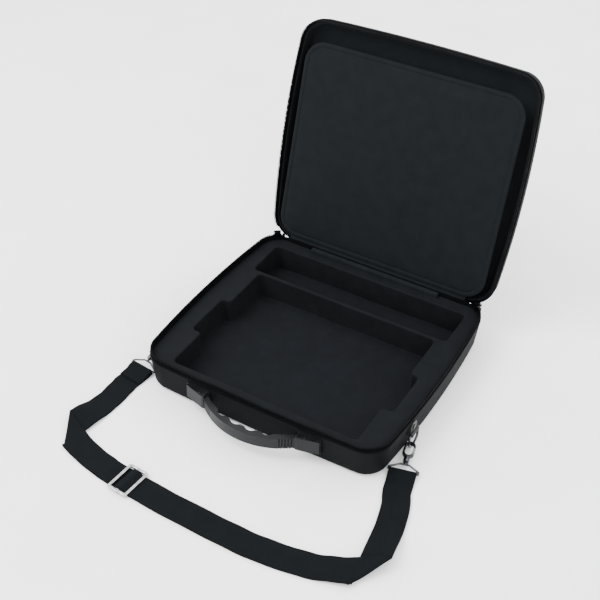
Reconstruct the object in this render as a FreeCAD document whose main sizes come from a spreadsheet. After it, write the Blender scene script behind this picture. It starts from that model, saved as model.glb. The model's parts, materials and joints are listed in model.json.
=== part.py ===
"""Zipped hard-shell carry case, standing open, with a moulded tray, a padded divider in its lid,
a moulded grip handle and a webbing shoulder strap.

Frame: millimetres, origin at the centre of the base's underside, X to the right, Y to the hinge
side, Z up. The handle is on the front wall (-Y). Lid and divider are drawn in the closed position
and carried to the open one by the placement of each sub-part.
"""
import FreeCAD, Part
import math
import os
import Sketcher

V = FreeCAD.Vector
X_AXIS = V(1, 0, 0)
Y_AXIS = V(0, 1, 0)
Z_AXIS = V(0, 0, 1)

doc = FreeCAD.newDocument("carry_case")

DIMENSIONS = {
    # plan outline of the case
    "case_width": 400.0, "case_depth": 372.0, "corner_radius": 40.0,
    "side_bow": 6.4, "front_bow": 2.9,
    # base shell and tray
    "wall": 4.0, "base_wall_top": 51.0, "base_draft": 5.5, "base_edge_radius": 9.0,
    "tray_gap": 0.3, "tray_top": 50.0, "tray_floor": 8.0,
    "pocket_half_width": 172.0, "pocket_front": 87.0, "pocket_back": 160.0,
    "bay_front": -165.0, "bay_back": 81.0, "bay_rear_half": 157.0,
    "bay_middle_half": 172.0, "bay_front_half": 154.0, "bay_step_rear": -6.0,
    "bay_step_front": -90.0, "tray_round": 7.0, "tray_lip_round": 2.5,
    # rim: bead, zip tape and teeth
    "bead_size": 4.4, "bead_round": 1.9, "tape_start": 1.6, "tape_thickness": 0.8,
    "tape_height": 3.8, "teeth_start": 0.6, "teeth_width": 2.8, "teeth_height": 2.0,
    "teeth_gap": 0.4, "base_zip_end": 180.7, "lid_zip_end": 170.9,
    # lid
    "lid_depth": 27.8, "lid_draft": 2.4, "lid_edge_radius": 9.0, "lining": 2.0,
    "open_angle": 105.36, "hinge_y": 181.0, "hinge_z": 58.6,
    # divider that leans in the lid
    "divider_width": 370.0, "divider_length": 328.0, "divider_thickness": 6.0,
    "divider_corner": 35.0, "divider_round": 2.4, "divider_tilt": 0.3,
    "divider_hinge_y": 178.0, "divider_hinge_z": 60.0, "divider_gap": 2.5,
    "binding_width": 5.0, "board_thickness": 2.0, "board_inset": 14.0,
    # fabric hinge
    "hinge_fabric_half": 165.0, "hinge_fabric": 0.6, "strip_half": 115.0,
    "strip_front": 172.0, "strip_back": 180.4, "strip_top": 56.5, "fabric_split_low": 58.0,
    "fabric_split_high": 59.2, "divider_tape_half": 160.0, "divider_tape": 1.2,
    "divider_leaf_back": 180.5,
    # handle
    "grip_half": 76.0, "grip_reach": 41.5, "grip_thickness": 12.0, "grip_bottom": 22.5,
    "grip_height": 18.5, "grip_rise": 27.5, "scallop_pitch": 24.0, "scallop_depth": 4.0,
    "rib_pitch": 3.6, "rib_depth": 1.1, "cap_inner": 76.0, "cap_outer": 111.0,
    "cap_bottom": 21.5, "cap_height": 23.0, "cap_front": -200.5,
    "cap_end": 2.5, "grip_inner_end": -190.2, "lug_relief": 2.0, "lug_play": 0.3,
    "finger_radius": 11.0, "plate_inner": 74.0, "plate_outer": 112.0, "plate_front": 189.6,
    "plate_back": 180.0, "plate_bottom": 20.0, "plate_height": 27.0, "pin_y": -194.1,
    "pin_x": 88.0, "pin_radius": 1.2,
    "rivet_radius": 2.0, "backing": 1.6, "rivet_head": 4.0, "rivet_play": 0.05,
    "rivet_inner": 82.0, "rivet_outer": 104.0, "backing_half": 16.0, "backing_height": 17.0,
    # side tabs, D rings, snap hooks and swivel eyes
    "tab_width": 20.0, "tab_y": -91.0, "rivet_z": 39.0, "ring_plane": 207.0,
    "ring_bar_drop": 9.5, "ring_leg": 11.7, "ring_radius": 14.0, "ring_wire": 1.8,
    "left_tab_swing": 60.0, "hook_thickness": 5.0, "hook_half": 8.5, "hook_opening": 5.0,
    "hook_length": 35.5, "eye_reach": 16.0, "eye_half": 21.2, "eye_wire": 1.5,
    "swivel_post": 2.1, "left_ring_lean": 9.0, "gate_pin_x": 6.75, "gate_pin_y": 14.8,
    "gate_pin_radius": 0.8, "gate_half": 1.7, "gate_end": 25.7, "gate_thickness": 3.6,
    # strap
    "webbing_width": 40.0, "webbing": 3.0, "loop_length": 26.0, "loop_wall": 1.3,
    "buckle_length": 34.0, "buckle_width": 50.0, "buckle_bar": 4.5, "buckle_thickness": 3.0,
    # zip sliders and pulls
    "slider_angle": 17.0, "slider_park": 45.5, "pull_radius": 43.8, "pull_height": 61.4,
    "pull_length": 24.0, "pull_width": 8.0,
}

# set-ins of the plan outline that follow from the values above
D = DIMENSIONS
D["flush"] = 0.0
D["cavity_low"] = D["base_draft"] * (1 - D["wall"] / D["base_wall_top"]) + D["wall"]
D["tray_low"] = D["cavity_low"] + D["tray_gap"]
D["tray_high"] = D["wall"] + D["tray_gap"] + 0.1
D["bead_out"] = -(D["bead_size"] - D["wall"]) / 2
D["bead_in"] = D["bead_out"] + D["bead_size"]
D["tape_end"] = D["tape_start"] + D["tape_thickness"]
D["teeth_end"] = D["teeth_start"] + D["teeth_width"]
D["bead_top"] = D["base_wall_top"] + D["bead_size"]
D["tape_top"] = D["bead_top"] + D["tape_height"]
D["teeth_top"] = D["tape_top"] + D["teeth_height"]
# heights of the closed lid, from its teeth up
D["lid_teeth"] = D["teeth_top"] + D["teeth_gap"]
D["lid_tape"] = D["lid_teeth"] + D["teeth_height"]
D["lid_bead"] = D["lid_tape"] + D["tape_height"]
D["lid_wall"] = D["lid_bead"] + D["bead_size"]
D["lid_top"] = D["lid_bead"] + D["lid_depth"]
D["lid_cavity_top"] = D["lid_top"] - D["wall"]
D["lining_low"] = D["lid_bead"] + 1.5
D["lining_top"] = D["lid_cavity_top"] - 0.2
D["lid_cavity_high"] = D["lid_draft"] * 0.85 + D["wall"]
D["lining_out_low"] = D["bead_in"] + 0.3
D["lining_out_high"] = D["lid_cavity_high"] + 0.4
D["lining_in_low"] = D["lining_out_low"] + D["lining"]
D["lining_in_high"] = D["lining_out_high"] + D["lining"] + 0.6

# surfaces that other parts are fitted to: outside wall, inside wall, inside of a backing plate
for surface, depth in (("outer_fit", -0.05), ("inner_fit", D["wall"] + 0.05),
                       ("backing_fit", D["wall"] + D["backing"]),
                       ("head_fit", D["wall"] + D["backing"] + 0.05)):
    D[surface + "_low"] = depth + D["base_draft"]
    D[surface + "_high"] = depth

sheet = doc.addObject("Spreadsheet::Sheet", "dimensions")
for row, (alias, value) in enumerate(DIMENSIONS.items(), start=1):
    sheet.set("A%d" % row, alias.replace("_", " "))
    sheet.set("B%d" % row, "%.4f" % value)
    sheet.setAlias("B%d" % row, alias)
doc.recompute()


def dim(alias):
    """Value of one cell of the sheet."""
    return float(sheet.get(alias))


SHEET = "<<dimensions>>."
sub_parts = []          # every object that is written out


def keep(part_object, label):
    """Name a finished sub-part and put it on the list to write."""
    part_object.Label = label
    sub_parts.append(part_object)
    return part_object


# ---------------------------------------------------------------- placements
HINGE = V(0, dim("hinge_y"), dim("hinge_z"))
LID_PLACEMENT = FreeCAD.Placement(V(), FreeCAD.Rotation(X_AXIS, -dim("open_angle")), HINGE)


def at_open_lid(part_object):
    """Carry a sub-part drawn on the closed case to the open lid."""
    part_object.Placement = LID_PLACEMENT.multiply(part_object.Placement)


# ---------------------------------------------------------------- bodies and sketches
def new_body(label):
    return keep(doc.addObject("PartDesign::Body", label), label)


def origin_plane(body, role):
    for feature in body.Origin.OriginFeatures:
        if feature.Role == role:
            return feature
    raise RuntimeError("no origin plane " + role)


def new_sketch(body, name, role="XY_Plane", offset=None):
    """Sketch on one of the body's origin planes, moved along its normal by an expression."""
    sketch = body.newObject("Sketcher::SketchObject", name)
    sketch.AttachmentSupport = (origin_plane(body, role), [""])
    sketch.MapMode = "FlatFace"
    if offset is not None:
        sketch.setExpression("AttachmentOffset.Base.z", offset)
    return sketch


def cell(expression):
    """Turn bare cell names between braces into references to the sheet."""
    return expression.replace("{", SHEET).replace("}", "")


def constrain(sketch, kind, *numbers):
    return sketch.addConstraint(Sketcher.Constraint(kind, *numbers))


def drive(sketch, number, formula):
    """Bind one constraint of a sketch to the sheet."""
    sketch.setExpression("Constraints[%d]" % number, cell(formula))


def bowed_radius(half_chord, bow_name):
    """Radius of the long arc that joins two corner arcs and stands proud by the bow."""
    r = dim("corner_radius")
    bow = dim(bow_name)
    return ((r + bow) ** 2 + half_chord ** 2 - r ** 2) / (2 * bow)


def arc(cx, cy, radius, start, end):
    circle = Part.Circle(V(cx, cy, 0), Z_AXIS, radius)
    return Part.ArcOfCircle(circle, math.radians(start), math.radians(end))


def outline(sketch, inset_name):
    """Closed plan outline of the case, set in by one cell of the sheet: a straight back, bowed
    sides and front, and four round corners, all tangent."""
    r = dim("corner_radius")
    cx = dim("case_width") / 2 - r
    cy = dim("case_depth") / 2 - r
    side = bowed_radius(cy, "side_bow")
    front = bowed_radius(cx, "front_bow")
    side_x = cx + r + dim("side_bow") - side
    front_y = front - (cy + r + dim("front_bow"))
    alpha = math.degrees(math.atan2(cy, cx - side_x))
    beta = math.degrees(math.atan2(cy + front_y, cx))
    inset = dim(inset_name)
    first = sketch.GeometryCount
    sketch.addGeometry([
        arc(side_x, 0, side - inset, -alpha, alpha),
        arc(cx, cy, r - inset, alpha, 90),
        Part.LineSegment(V(cx, cy + r - inset, 0), V(-cx, cy + r - inset, 0)),
        arc(-cx, cy, r - inset, 90, 180 - alpha),
        arc(-side_x, 0, side - inset, 180 - alpha, 180 + alpha),
        arc(-cx, -cy, r - inset, 180 + alpha, 180 + beta),
        arc(0, front_y, front - inset, 180 + beta, 360 - beta),
        arc(cx, -cy, r - inset, 360 - beta, 360 - alpha),
    ], False)
    for i in range(8):
        constrain(sketch, "Tangent", first + i, 2, first + (i + 1) % 8, 1)
    half_width = "{case_width} / 2 - {corner_radius}"
    half_depth = "{case_depth} / 2 - {corner_radius}"
    for index, sx, sy in ((1, 1, 1), (3, -1, 1), (5, -1, -1), (7, 1, -1)):
        for kind, sign, value, formula in (("DistanceX", sx, cx, half_width),
                                           ("DistanceY", sy, cy, half_depth)):
            ends = (-1, 1, first + index, 3) if sign > 0 else (first + index, 3, -1, 1)
            drive(sketch, constrain(sketch, kind, *ends, value), formula)
    bowed = "(({corner_radius} + {%s}) ^ 2 + (%s) ^ 2 - {corner_radius} ^ 2) / (2 * {%s})"
    radii = ((1, r, "{corner_radius}"),
             (0, side, bowed % ("side_bow", half_depth, "side_bow")),
             (6, front, bowed % ("front_bow", half_width, "front_bow")))
    for index, value, formula in radii:
        number = constrain(sketch, "Radius", first + index, value - inset)
        drive(sketch, number, formula + " - {%s}" % inset_name)
    for a, b in ((1, 3), (1, 5), (1, 7), (0, 4)):
        constrain(sketch, "Equal", first + a, first + b)


def add(body, kind, name, **properties):
    """New PartDesign feature with plain properties."""
    feature = body.newObject("PartDesign::" + kind, name)
    for key, value in properties.items():
        setattr(feature, key, value)
    return feature


def pad(body, sketch, height, name="pad"):
    feature = add(body, "Pad", name, Profile=sketch)
    feature.setExpression("Length", cell(height))
    return feature


def cut_through(body, sketch, name="cut"):
    """Pocket right through in both directions."""
    return add(body, "Pocket", name, Profile=sketch, Type=1, Midplane=True)


def loft_between(body, low, high, cutting=False, name="loft"):
    """Straight loft between two outlines, each a (height, inset cell) pair."""
    sketches = []
    for number, (height, inset_name) in enumerate((low, high)):
        sketch = new_sketch(body, "%s_outline_%d" % (name, number), offset=cell(height))
        outline(sketch, inset_name)
        sketches.append(sketch)
    kind = "SubtractiveLoft" if cutting else "AdditiveLoft"
    return add(body, kind, name, Profile=sketches[0], Sections=[(sketches[1], [""])], Ruled=True)


def edges_where(shape, test):
    """Names of the edges whose middle passes a test of its point."""
    names = []
    for number, edge in enumerate(shape.Edges, start=1):
        middle = edge.valueAt((edge.FirstParameter + edge.LastParameter) / 2)
        if test(middle, edge):
            names.append("Edge%d" % number)
    return names


def fillet(body, base, test, radius, name="round"):
    """Round the edges of a feature that pass a test; the radius is a formula."""
    doc.recompute()
    feature = add(body, "Fillet", name, Base=(base, edges_where(base.Shape, test)))
    feature.setExpression("Radius", cell(radius))
    return feature


def ring_body(label, outer, inner, bottom, height, zip_end=None):
    """Band that runs round the case between two set-ins; a zip half stops at the back."""
    body = new_body(label)
    sketch = new_sketch(body, label + "_ring", offset=cell(bottom))
    outline(sketch, outer)
    outline(sketch, inner)
    band = pad(body, sketch, height)
    if zip_end is not None:
        gap = new_sketch(body, label + "_back")
        rectangle(gap, "-{case_width}", "{case_width}", "{%s}" % zip_end, "{case_depth}")
        cut_through(body, gap)
    return body, band


def number_of(formula):
    """Value of a formula that is a cell, or a cell with a minus sign, between braces."""
    sign = -1.0 if formula.startswith("-") else 1.0
    return sign * dim(formula.strip("-{}"))


def rectangle(sketch, left, right, low, high):
    """Rectangle whose sides are cells of the sheet, each with or without a minus sign."""
    x0, x1, y0, y1 = (number_of(side) for side in (left, right, low, high))
    first = sketch.GeometryCount
    corners = [V(x0, y0, 0), V(x1, y0, 0), V(x1, y1, 0), V(x0, y1, 0)]
    for i in range(4):
        sketch.addGeometry(Part.LineSegment(corners[i], corners[(i + 1) % 4]), False)
    for i in range(4):
        constrain(sketch, "Coincident", first + i, 2, first + (i + 1) % 4, 1)
    for i in (0, 2):
        constrain(sketch, "Horizontal", first + i)
        constrain(sketch, "Vertical", first + i + 1)
    for kind, corner, value, formula in (("DistanceX", 0, x0, left), ("DistanceX", 2, x1, right),
                                         ("DistanceY", 0, y0, low), ("DistanceY", 2, y1, high)):
        ends = (-1, 1, first + corner, 1) if value >= 0 else (first + corner, 1, -1, 1)
        opposite = formula if value >= 0 else "-(%s)" % formula
        drive(sketch, constrain(sketch, kind, *ends, abs(value)), opposite)


def polygon(sketch, points):
    """Closed straight-sided outline, fixed in place."""
    first = sketch.GeometryCount
    count = len(points)
    for i in range(count):
        start, end = points[i], points[(i + 1) % count]
        sketch.addGeometry(Part.LineSegment(V(*start, 0), V(*end, 0)), False)
    for i in range(count):
        constrain(sketch, "Coincident", first + i, 2, first + (i + 1) % count, 1)




def rounded_rectangle(sketch, x0, x1, y0, y1, r):
    """Rectangle with four equal round corners, drawn from its limits."""
    first = sketch.GeometryCount
    sketch.addGeometry([
        Part.LineSegment(V(x0 + r, y0, 0), V(x1 - r, y0, 0)),
        arc(x1 - r, y0 + r, r, 270, 360),
        Part.LineSegment(V(x1, y0 + r, 0), V(x1, y1 - r, 0)),
        arc(x1 - r, y1 - r, r, 0, 90),
        Part.LineSegment(V(x1 - r, y1, 0), V(x0 + r, y1, 0)),
        arc(x0 + r, y1 - r, r, 90, 180),
        Part.LineSegment(V(x0, y1 - r, 0), V(x0, y0 + r, 0)),
        arc(x0 + r, y0 + r, r, 180, 270),
    ], False)
    for i in range(8):
        constrain(sketch, "Tangent", first + i, 2, first + (i + 1) % 8, 1)


def drafted_block(body, inset_name, foot, height, draft, downward):
    """Block of the case outline whose walls lean inward away from the foot."""
    sketch = new_sketch(body, "foot_outline", offset=cell(foot))
    outline(sketch, inset_name)
    block = add(body, "Pad", "block", Profile=sketch, Reversed=downward)
    block.setExpression("Length", cell(height))
    doc.recompute()
    walls = []
    for number, face in enumerate(block.Shape.Faces, start=1):
        u, v = face.Surface.parameter(face.CenterOfMass)
        if abs(face.normalAt(u, v).z) < 0.5:
            walls.append("Face%d" % number)
    lean = add(body, "Draft", "lean", Base=(block, walls), NeutralPlane=(sketch, [""]),
               Reversed=downward)
    lean.setExpression("Angle", "atan(%s / (%s))" % (cell(draft), cell(height)))
    doc.recompute()
    if lean.Shape.Volume > block.Shape.Volume:
        lean.Reversed = not downward
        doc.recompute()
    return lean


# ---------------------------------------------------------------- primitives
def solid(kind, **properties):
    """Part primitive; a property given as text is a formula of the sheet."""
    item = doc.addObject("Part::" + kind, kind)
    for key, value in properties.items():
        if isinstance(value, str):
            item.setExpression(key, cell(value))
        else:
            setattr(item, key, value)
    return item


def put(item, position, rotation=None):
    item.Placement = FreeCAD.Placement(V(*position), rotation or FreeCAD.Rotation())
    return item


def box(low, high):
    """Box between two opposite corners."""
    size = [b - a for a, b in zip(low, high)]
    return put(solid("Box", Length=size[0], Width=size[1], Height=size[2]), low)


def rod(start, end, radius):
    """Round bar between two points."""
    along = V(*end) - V(*start)
    item = solid("Cylinder", Radius=radius, Height=along.Length)
    return put(item, start, FreeCAD.Rotation(Z_AXIS, along))


def ball(centre, radius):
    return put(solid("Sphere", Radius=radius), centre)


def fuse(*items):
    joined = doc.addObject("Part::MultiFuse", "joined")
    joined.Shapes = list(items)
    return joined


def cut(base, tool):
    item = doc.addObject("Part::Cut", "cut")
    item.Base = base
    item.Tool = tool
    return item


def common(base, tool):
    item = doc.addObject("Part::Common", "common")
    item.Base = base
    item.Tool = tool
    return item


def mirrored(source):
    """Mirror image of a sub-part in the middle plane."""
    item = doc.addObject("Part::Mirroring", "mirrored")
    item.Source = source
    item.Normal = X_AXIS
    return item


def helper_body(label):
    """Body used as a tool and not written out."""
    return doc.addObject("PartDesign::Body", label)


def frame_on(origin, along, normal):
    """Placement whose local Y runs along one direction and whose local Z leans to another."""
    y = V(*along).normalize()
    z = V(*normal)
    z = (z - y * z.dot(y)).normalize()
    x = y.cross(z)
    turn = FreeCAD.Rotation(x, y, z, "ZXY")
    return FreeCAD.Placement(V(*origin), turn)


# ---------------------------------------------------------------- base shell
def make_base_shell():
    body = helper_body("base_shell_body")
    lean = drafted_block(body, "flush", "{base_wall_top}", "{base_wall_top}", "{base_draft}", True)
    fillet(body, lean, lambda p, e: abs(p.z) < 0.01, "{base_edge_radius}")
    loft_between(body, ("{wall}", "cavity_low"), ("{base_wall_top}", "wall"), cutting=True,
                 name="cavity")
    return body


def wall_fit(label, low, high):
    """Solid inside a leaning wall surface of the base; its insets are cells of the sheet."""
    body = helper_body(label)
    loft_between(body, ("0 mm", low), ("{base_wall_top}", high))
    return body


outer_fit = wall_fit("outer_fit", "outer_fit_low", "outer_fit_high")
inner_fit = wall_fit("inner_fit", "inner_fit_low", "inner_fit_high")
backing_fit = wall_fit("backing_fit", "backing_fit_low", "backing_fit_high")

# rivets of the handle and side tabs: where they go through the front and side walls
HANDLE_RIVETS = [(sx * dim(place), dim("cap_bottom") + dim("cap_height") / 2)
                 for sx in (-1, 1) for place in ("rivet_inner", "rivet_outer")]
HOLE_RADIUS = dim("rivet_radius") + dim("rivet_play")
SHANK_RADIUS = dim("rivet_radius") - dim("rivet_play")


def front_bars(near, far, radius):
    """Bars along Y on the four rivets of the handle."""
    return [rod((x, near, z), (x, far, z), radius) for x, z in HANDLE_RIVETS]


def side_bar(side, near, far, radius):
    """Bar along X on the rivet of a side tab, between two distances from the middle plane."""
    y, z = dim("tab_y"), dim("rivet_z")
    return rod((side * near, y, z), (side * far, y, z), radius)


rivet_holes = front_bars(-192, -170, HOLE_RADIUS)
rivet_holes += [side_bar(side, 190, 212, HOLE_RADIUS) for side in (-1, 1)]
keep(cut(make_base_shell(), fuse(*rivet_holes)), "base_shell")


# ---------------------------------------------------------------- moulded tray
def make_tray():
    body = helper_body("tray_body")
    loft_between(body, ("{wall} + {tray_gap}", "tray_low"), ("{tray_top}", "tray_high"))
    depth = "{tray_top} - {tray_floor}"
    bay = new_sketch(body, "main_bay", offset=cell("{tray_top}"))
    step_rear, step_front = dim("bay_step_rear"), dim("bay_step_front")
    rear, middle, front = (dim("bay_%s_half" % name) for name in ("rear", "middle", "front"))
    right = [(front, dim("bay_front")), (front, step_front), (middle, step_front),
             (middle, step_rear), (rear, step_rear), (rear, dim("bay_back"))]
    polygon(bay, right + [(-x, y) for x, y in reversed(right)])
    main = add(body, "Pocket", "main", Profile=bay)
    main.setExpression("Length", cell(depth))
    rear_bay = new_sketch(body, "rear_pocket", offset=cell("{tray_top}"))
    rectangle(rear_bay, "-{pocket_half_width}", "{pocket_half_width}", "{pocket_front}",
              "{pocket_back}")
    pocket = add(body, "Pocket", "pocket", Profile=rear_bay)
    pocket.setExpression("Length", cell(depth))

    def upright(p, e):
        inside = abs(p.x) < 175 and -168 < p.y < 162
        return inside and e.BoundBox.ZLength > 30

    rounded = fillet(body, pocket, upright, "{tray_round}")
    top = dim("tray_top")

    def lip(p, e):
        return abs(p.z - top) < 0.01 and abs(p.x) < 175.5 and -168 < p.y < 162

    fillet(body, rounded, lip, "{tray_lip_round}", "lip")
    return body


def plate_box(side, near, far, margin):
    """Block round a backing plate of the handle, between two set-backs along Y."""
    middle = side * (dim("rivet_inner") + dim("rivet_outer")) / 2
    level = dim("cap_bottom") + dim("cap_height") / 2
    half, tall = dim("backing_half") + margin, dim("backing_height") / 2 + margin
    return box((middle - half, near, level - tall), (middle + half, far, level + tall))


# clearance in the tray for the backing plates and the inner rivet heads
recesses = [plate_box(side, -190, -175.5, 2.5) for side in (-1, 1)]
recesses += [side_bar(side, 192, 205, dim("rivet_head") + 1.2) for side in (-1, 1)]
keep(cut(make_tray(), fuse(*recesses)), "base_insert")


# ---------------------------------------------------------------- rims and zips
def make_bead(label, bottom, soft_edge_low):
    body, band = ring_body(label, "bead_out", "bead_in", bottom, "{bead_size}")
    height = number_of(bottom) + (0 if soft_edge_low else dim("bead_size"))
    fillet(body, band, lambda p, e: abs(p.z - height) < 0.01, "{bead_round}")
    return body


make_bead("base_piping", "{base_wall_top}", False)
ring_body("base_zip_tape", "tape_start", "tape_end", "{bead_top}", "{tape_height}",
          "base_zip_end")
ring_body("base_zip_teeth", "teeth_start", "teeth_end", "{tape_top}", "{teeth_height}",
          "base_zip_end")
at_open_lid(make_bead("lid_piping", "{lid_bead}", True))
for label, outer, inner, bottom, height in (
        ("lid_zip_tape", "tape_start", "tape_end", "{lid_tape}", "{tape_height}"),
        ("lid_zip_teeth", "teeth_start", "teeth_end", "{lid_teeth}", "{teeth_height}")):
    at_open_lid(ring_body(label, outer, inner, bottom, height, "lid_zip_end")[0])

bead_top = dim("bead_top")
keep(fuse(*[box((sx * 173 - 2, 180.9, bead_top), (sx * 173 + 2, 183, bead_top + 6.2))
            for sx in (-1, 1)]), "zip_end_stops")


# ---------------------------------------------------------------- lid shell and lining
def make_lid_shell():
    body = new_body("lid_shell")
    height = "{lid_top} - {lid_wall}"
    lean = drafted_block(body, "flush", "{lid_wall}", height, "{lid_draft}", False)
    top = dim("lid_top")
    fillet(body, lean, lambda p, e: abs(p.z - top) < 0.01, "{lid_edge_radius}")
    loft_between(body, ("{lid_wall}", "wall"), ("{lid_cavity_top}", "lid_cavity_high"),
                 cutting=True, name="cavity")
    return body


def make_lid_lining():
    body = new_body("lid_lining")
    loft_between(body, ("{lining_low}", "lining_out_low"), ("{lining_top}", "lining_out_high"))
    loft_between(body, ("{lining_low}", "lining_in_low"),
                 ("{lining_top} - {lining}", "lining_in_high"), cutting=True, name="hollow")
    return body


at_open_lid(make_lid_shell())
at_open_lid(make_lid_lining())


# ---------------------------------------------------------------- divider
PIVOT = V(0, dim("divider_hinge_y"), dim("divider_hinge_z"))
LEAN = FreeCAD.Placement(PIVOT, FreeCAD.Rotation(X_AXIS, -dim("divider_tilt")))


def divider_sheet(label, edge, low, high, corner):
    """Flat sheet of the divider, set in from its edge, between two levels."""
    body = new_body(label)
    sketch = new_sketch(body, label + "_outline", offset=str(low) + " mm")
    half = dim("divider_width") / 2 - edge
    near = -dim("divider_gap") - edge
    far = -dim("divider_gap") - dim("divider_length") + edge
    rounded_rectangle(sketch, -half, half, far, near, corner)
    sheet_pad = add(body, "Pad", "pad", Profile=sketch, Length=high - low)
    body.Placement = LEAN
    at_open_lid(body)
    return body, sketch, sheet_pad


half_thick = dim("divider_thickness") / 2
corner = dim("divider_corner")
rim = dim("binding_width") + 0.2
core = dim("board_thickness") / 2
divider_sheet("divider_front_sheet", rim, core + 0.1, half_thick - 0.2, corner - rim)
divider_sheet("divider_back_sheet", rim, 0.2 - half_thick, -core - 0.1, corner - rim)
divider_sheet("divider_board", dim("board_inset"), -core, core, corner - dim("board_inset"))
binding, binding_sketch, binding_pad = divider_sheet("divider_binding", 0, -half_thick,
                                                     half_thick, corner)
half = dim("divider_width") / 2 - dim("binding_width")
rounded_rectangle(binding_sketch, -half, half,
                  dim("binding_width") - dim("divider_gap") - dim("divider_length"),
                  -dim("divider_gap") - dim("binding_width"), corner - dim("binding_width"))
reach = dim("divider_width") / 2 - 0.01
fillet(binding, binding_pad,
       lambda p, e: abs(p.x) > reach - corner * 0.4 or p.y > -dim("divider_gap") - 1
       or p.y < 1 - dim("divider_gap") - dim("divider_length"), "{divider_round}")

# cloth hinge of the divider: a tape on its lower edge and a leaf sewn to the lid
tape_half, tape_thick = dim("divider_tape_half"), dim("divider_tape")
tape = box((-tape_half, 0.3 - dim("divider_gap"), -tape_thick / 2),
           (tape_half, -tape_thick, tape_thick / 2))
tape.Placement = LEAN.multiply(tape.Placement)
at_open_lid(keep(tape, "divider_hinge_tape"))
leaf = box((-tape_half, PIVOT.y + tape_thick, PIVOT.z - tape_thick / 2),
           (tape_half, dim("divider_leaf_back"), PIVOT.z + tape_thick / 2))
at_open_lid(keep(leaf, "divider_hinge_leaf"))

# ---------------------------------------------------------------- fabric hinge of the lid
fabric_half = dim("hinge_fabric_half")
fabric_y = (HINGE.y - dim("hinge_fabric") / 2, HINGE.y + dim("hinge_fabric") / 2)
keep(box((-fabric_half, fabric_y[0], dim("tray_top") + 1),
         (fabric_half, fabric_y[1], dim("fabric_split_low"))), "rear_hinge_fabric_lower")
upper = box((-fabric_half, fabric_y[0], dim("fabric_split_high")),
            (fabric_half, fabric_y[1], dim("lid_bead") - 0.1))
at_open_lid(keep(upper, "rear_hinge_fabric_upper"))
keep(box((-dim("strip_half"), dim("strip_front"), dim("tray_top") + 0.1),
         (dim("strip_half"), dim("strip_back"), dim("strip_top"))), "inner_hinge_strip")


# ---------------------------------------------------------------- handle
GRIP_FRONT = -dim("case_depth") / 2 - dim("grip_reach")
GRIP_END = GRIP_FRONT + dim("grip_rise")
# plan of the lug that the grip pushes into a bracket, and of the hollow that takes it; both are
# for the right-hand end
LUG = [(70, -200), (79, -198.6), (97, -193.9), (97, -191.7), (70, -191.7)]
LUG_HOLLOW = [(73, -200), (79.2, -199), (97.6, -194.2), (97.6, -191.3), (73, -191.3)]


def arc_through(half_chord, y_end, y_middle):
    """Arc that bows to -Y between two ends at the same level."""
    return Part.Arc(V(-half_chord, y_end, 0), V(0, y_middle, 0), V(half_chord, y_end, 0))


def arc_level(half_chord, y_end, y_middle, x):
    """Y of that arc at a place along its chord."""
    sag = y_end - y_middle
    radius = (half_chord ** 2 + sag ** 2) / (2 * sag)
    return y_middle + radius - math.sqrt(radius ** 2 - x ** 2)


def make_grip():
    body = new_body("handle_grip")
    sketch = new_sketch(body, "grip_outline", offset=cell("{grip_bottom}"))
    half = dim("grip_half") - dim("lug_play")
    inner_middle = GRIP_FRONT + dim("grip_thickness")
    inner_end = dim("grip_inner_end")
    sketch.addGeometry([
        arc_through(half, GRIP_END, GRIP_FRONT),
        Part.LineSegment(V(half, GRIP_END, 0), V(half, inner_end, 0)),
        arc_through(half, inner_end, inner_middle),
        Part.LineSegment(V(-half, inner_end, 0), V(-half, GRIP_END, 0)),
    ], False)
    for a, a_end, b, b_end in ((0, 2, 1, 1), (1, 2, 2, 2), (2, 1, 3, 1), (3, 2, 0, 1)):
        constrain(sketch, "Coincident", a, a_end, b, b_end)
    pad(body, sketch, "{grip_height}")
    lugs = new_sketch(body, "lugs", offset=cell("{grip_bottom} + {lug_relief}"))
    for side in (-1, 1):
        polygon(lugs, [(side * x, y) for x, y in LUG])
    pad(body, lugs, "{grip_height} - 2 * {lug_relief}", "lug_pad")
    fingers = new_sketch(body, "fingers")
    radius = dim("finger_radius")
    for number in (-1.5, -0.5, 0.5, 1.5):
        x = number * dim("scallop_pitch")
        surface = arc_level(half, inner_end, inner_middle, x)
        circle = Part.Circle(V(x, surface - dim("scallop_depth") + radius, 0), Z_AXIS, radius)
        fingers.addGeometry(circle, False)
    cut_through(body, fingers, "finger_hollows")
    grooves = new_sketch(body, "grooves")
    for side in (-1, 1):
        for number in range(5):
            x = side * (half - 3 - number * dim("rib_pitch"))
            surface = arc_level(half, GRIP_END, GRIP_FRONT, x)
            width = dim("rib_pitch") * 0.45
            polygon(grooves, [(x - width / 2, surface - 3), (x + width / 2, surface - 3),
                              (x + width / 2, surface + dim("rib_depth")),
                              (x - width / 2, surface + dim("rib_depth"))])
    cut_through(body, grooves, "rib_grooves")
    pins = new_sketch(body, "pin_holes")
    for side in (-1, 1):
        pins.addGeometry(Part.Circle(V(side * dim("pin_x"), dim("pin_y"), 0), Z_AXIS,
                                     dim("pin_radius") + 0.05), False)
    cut_through(body, pins, "pin_bores")
    return body


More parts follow.
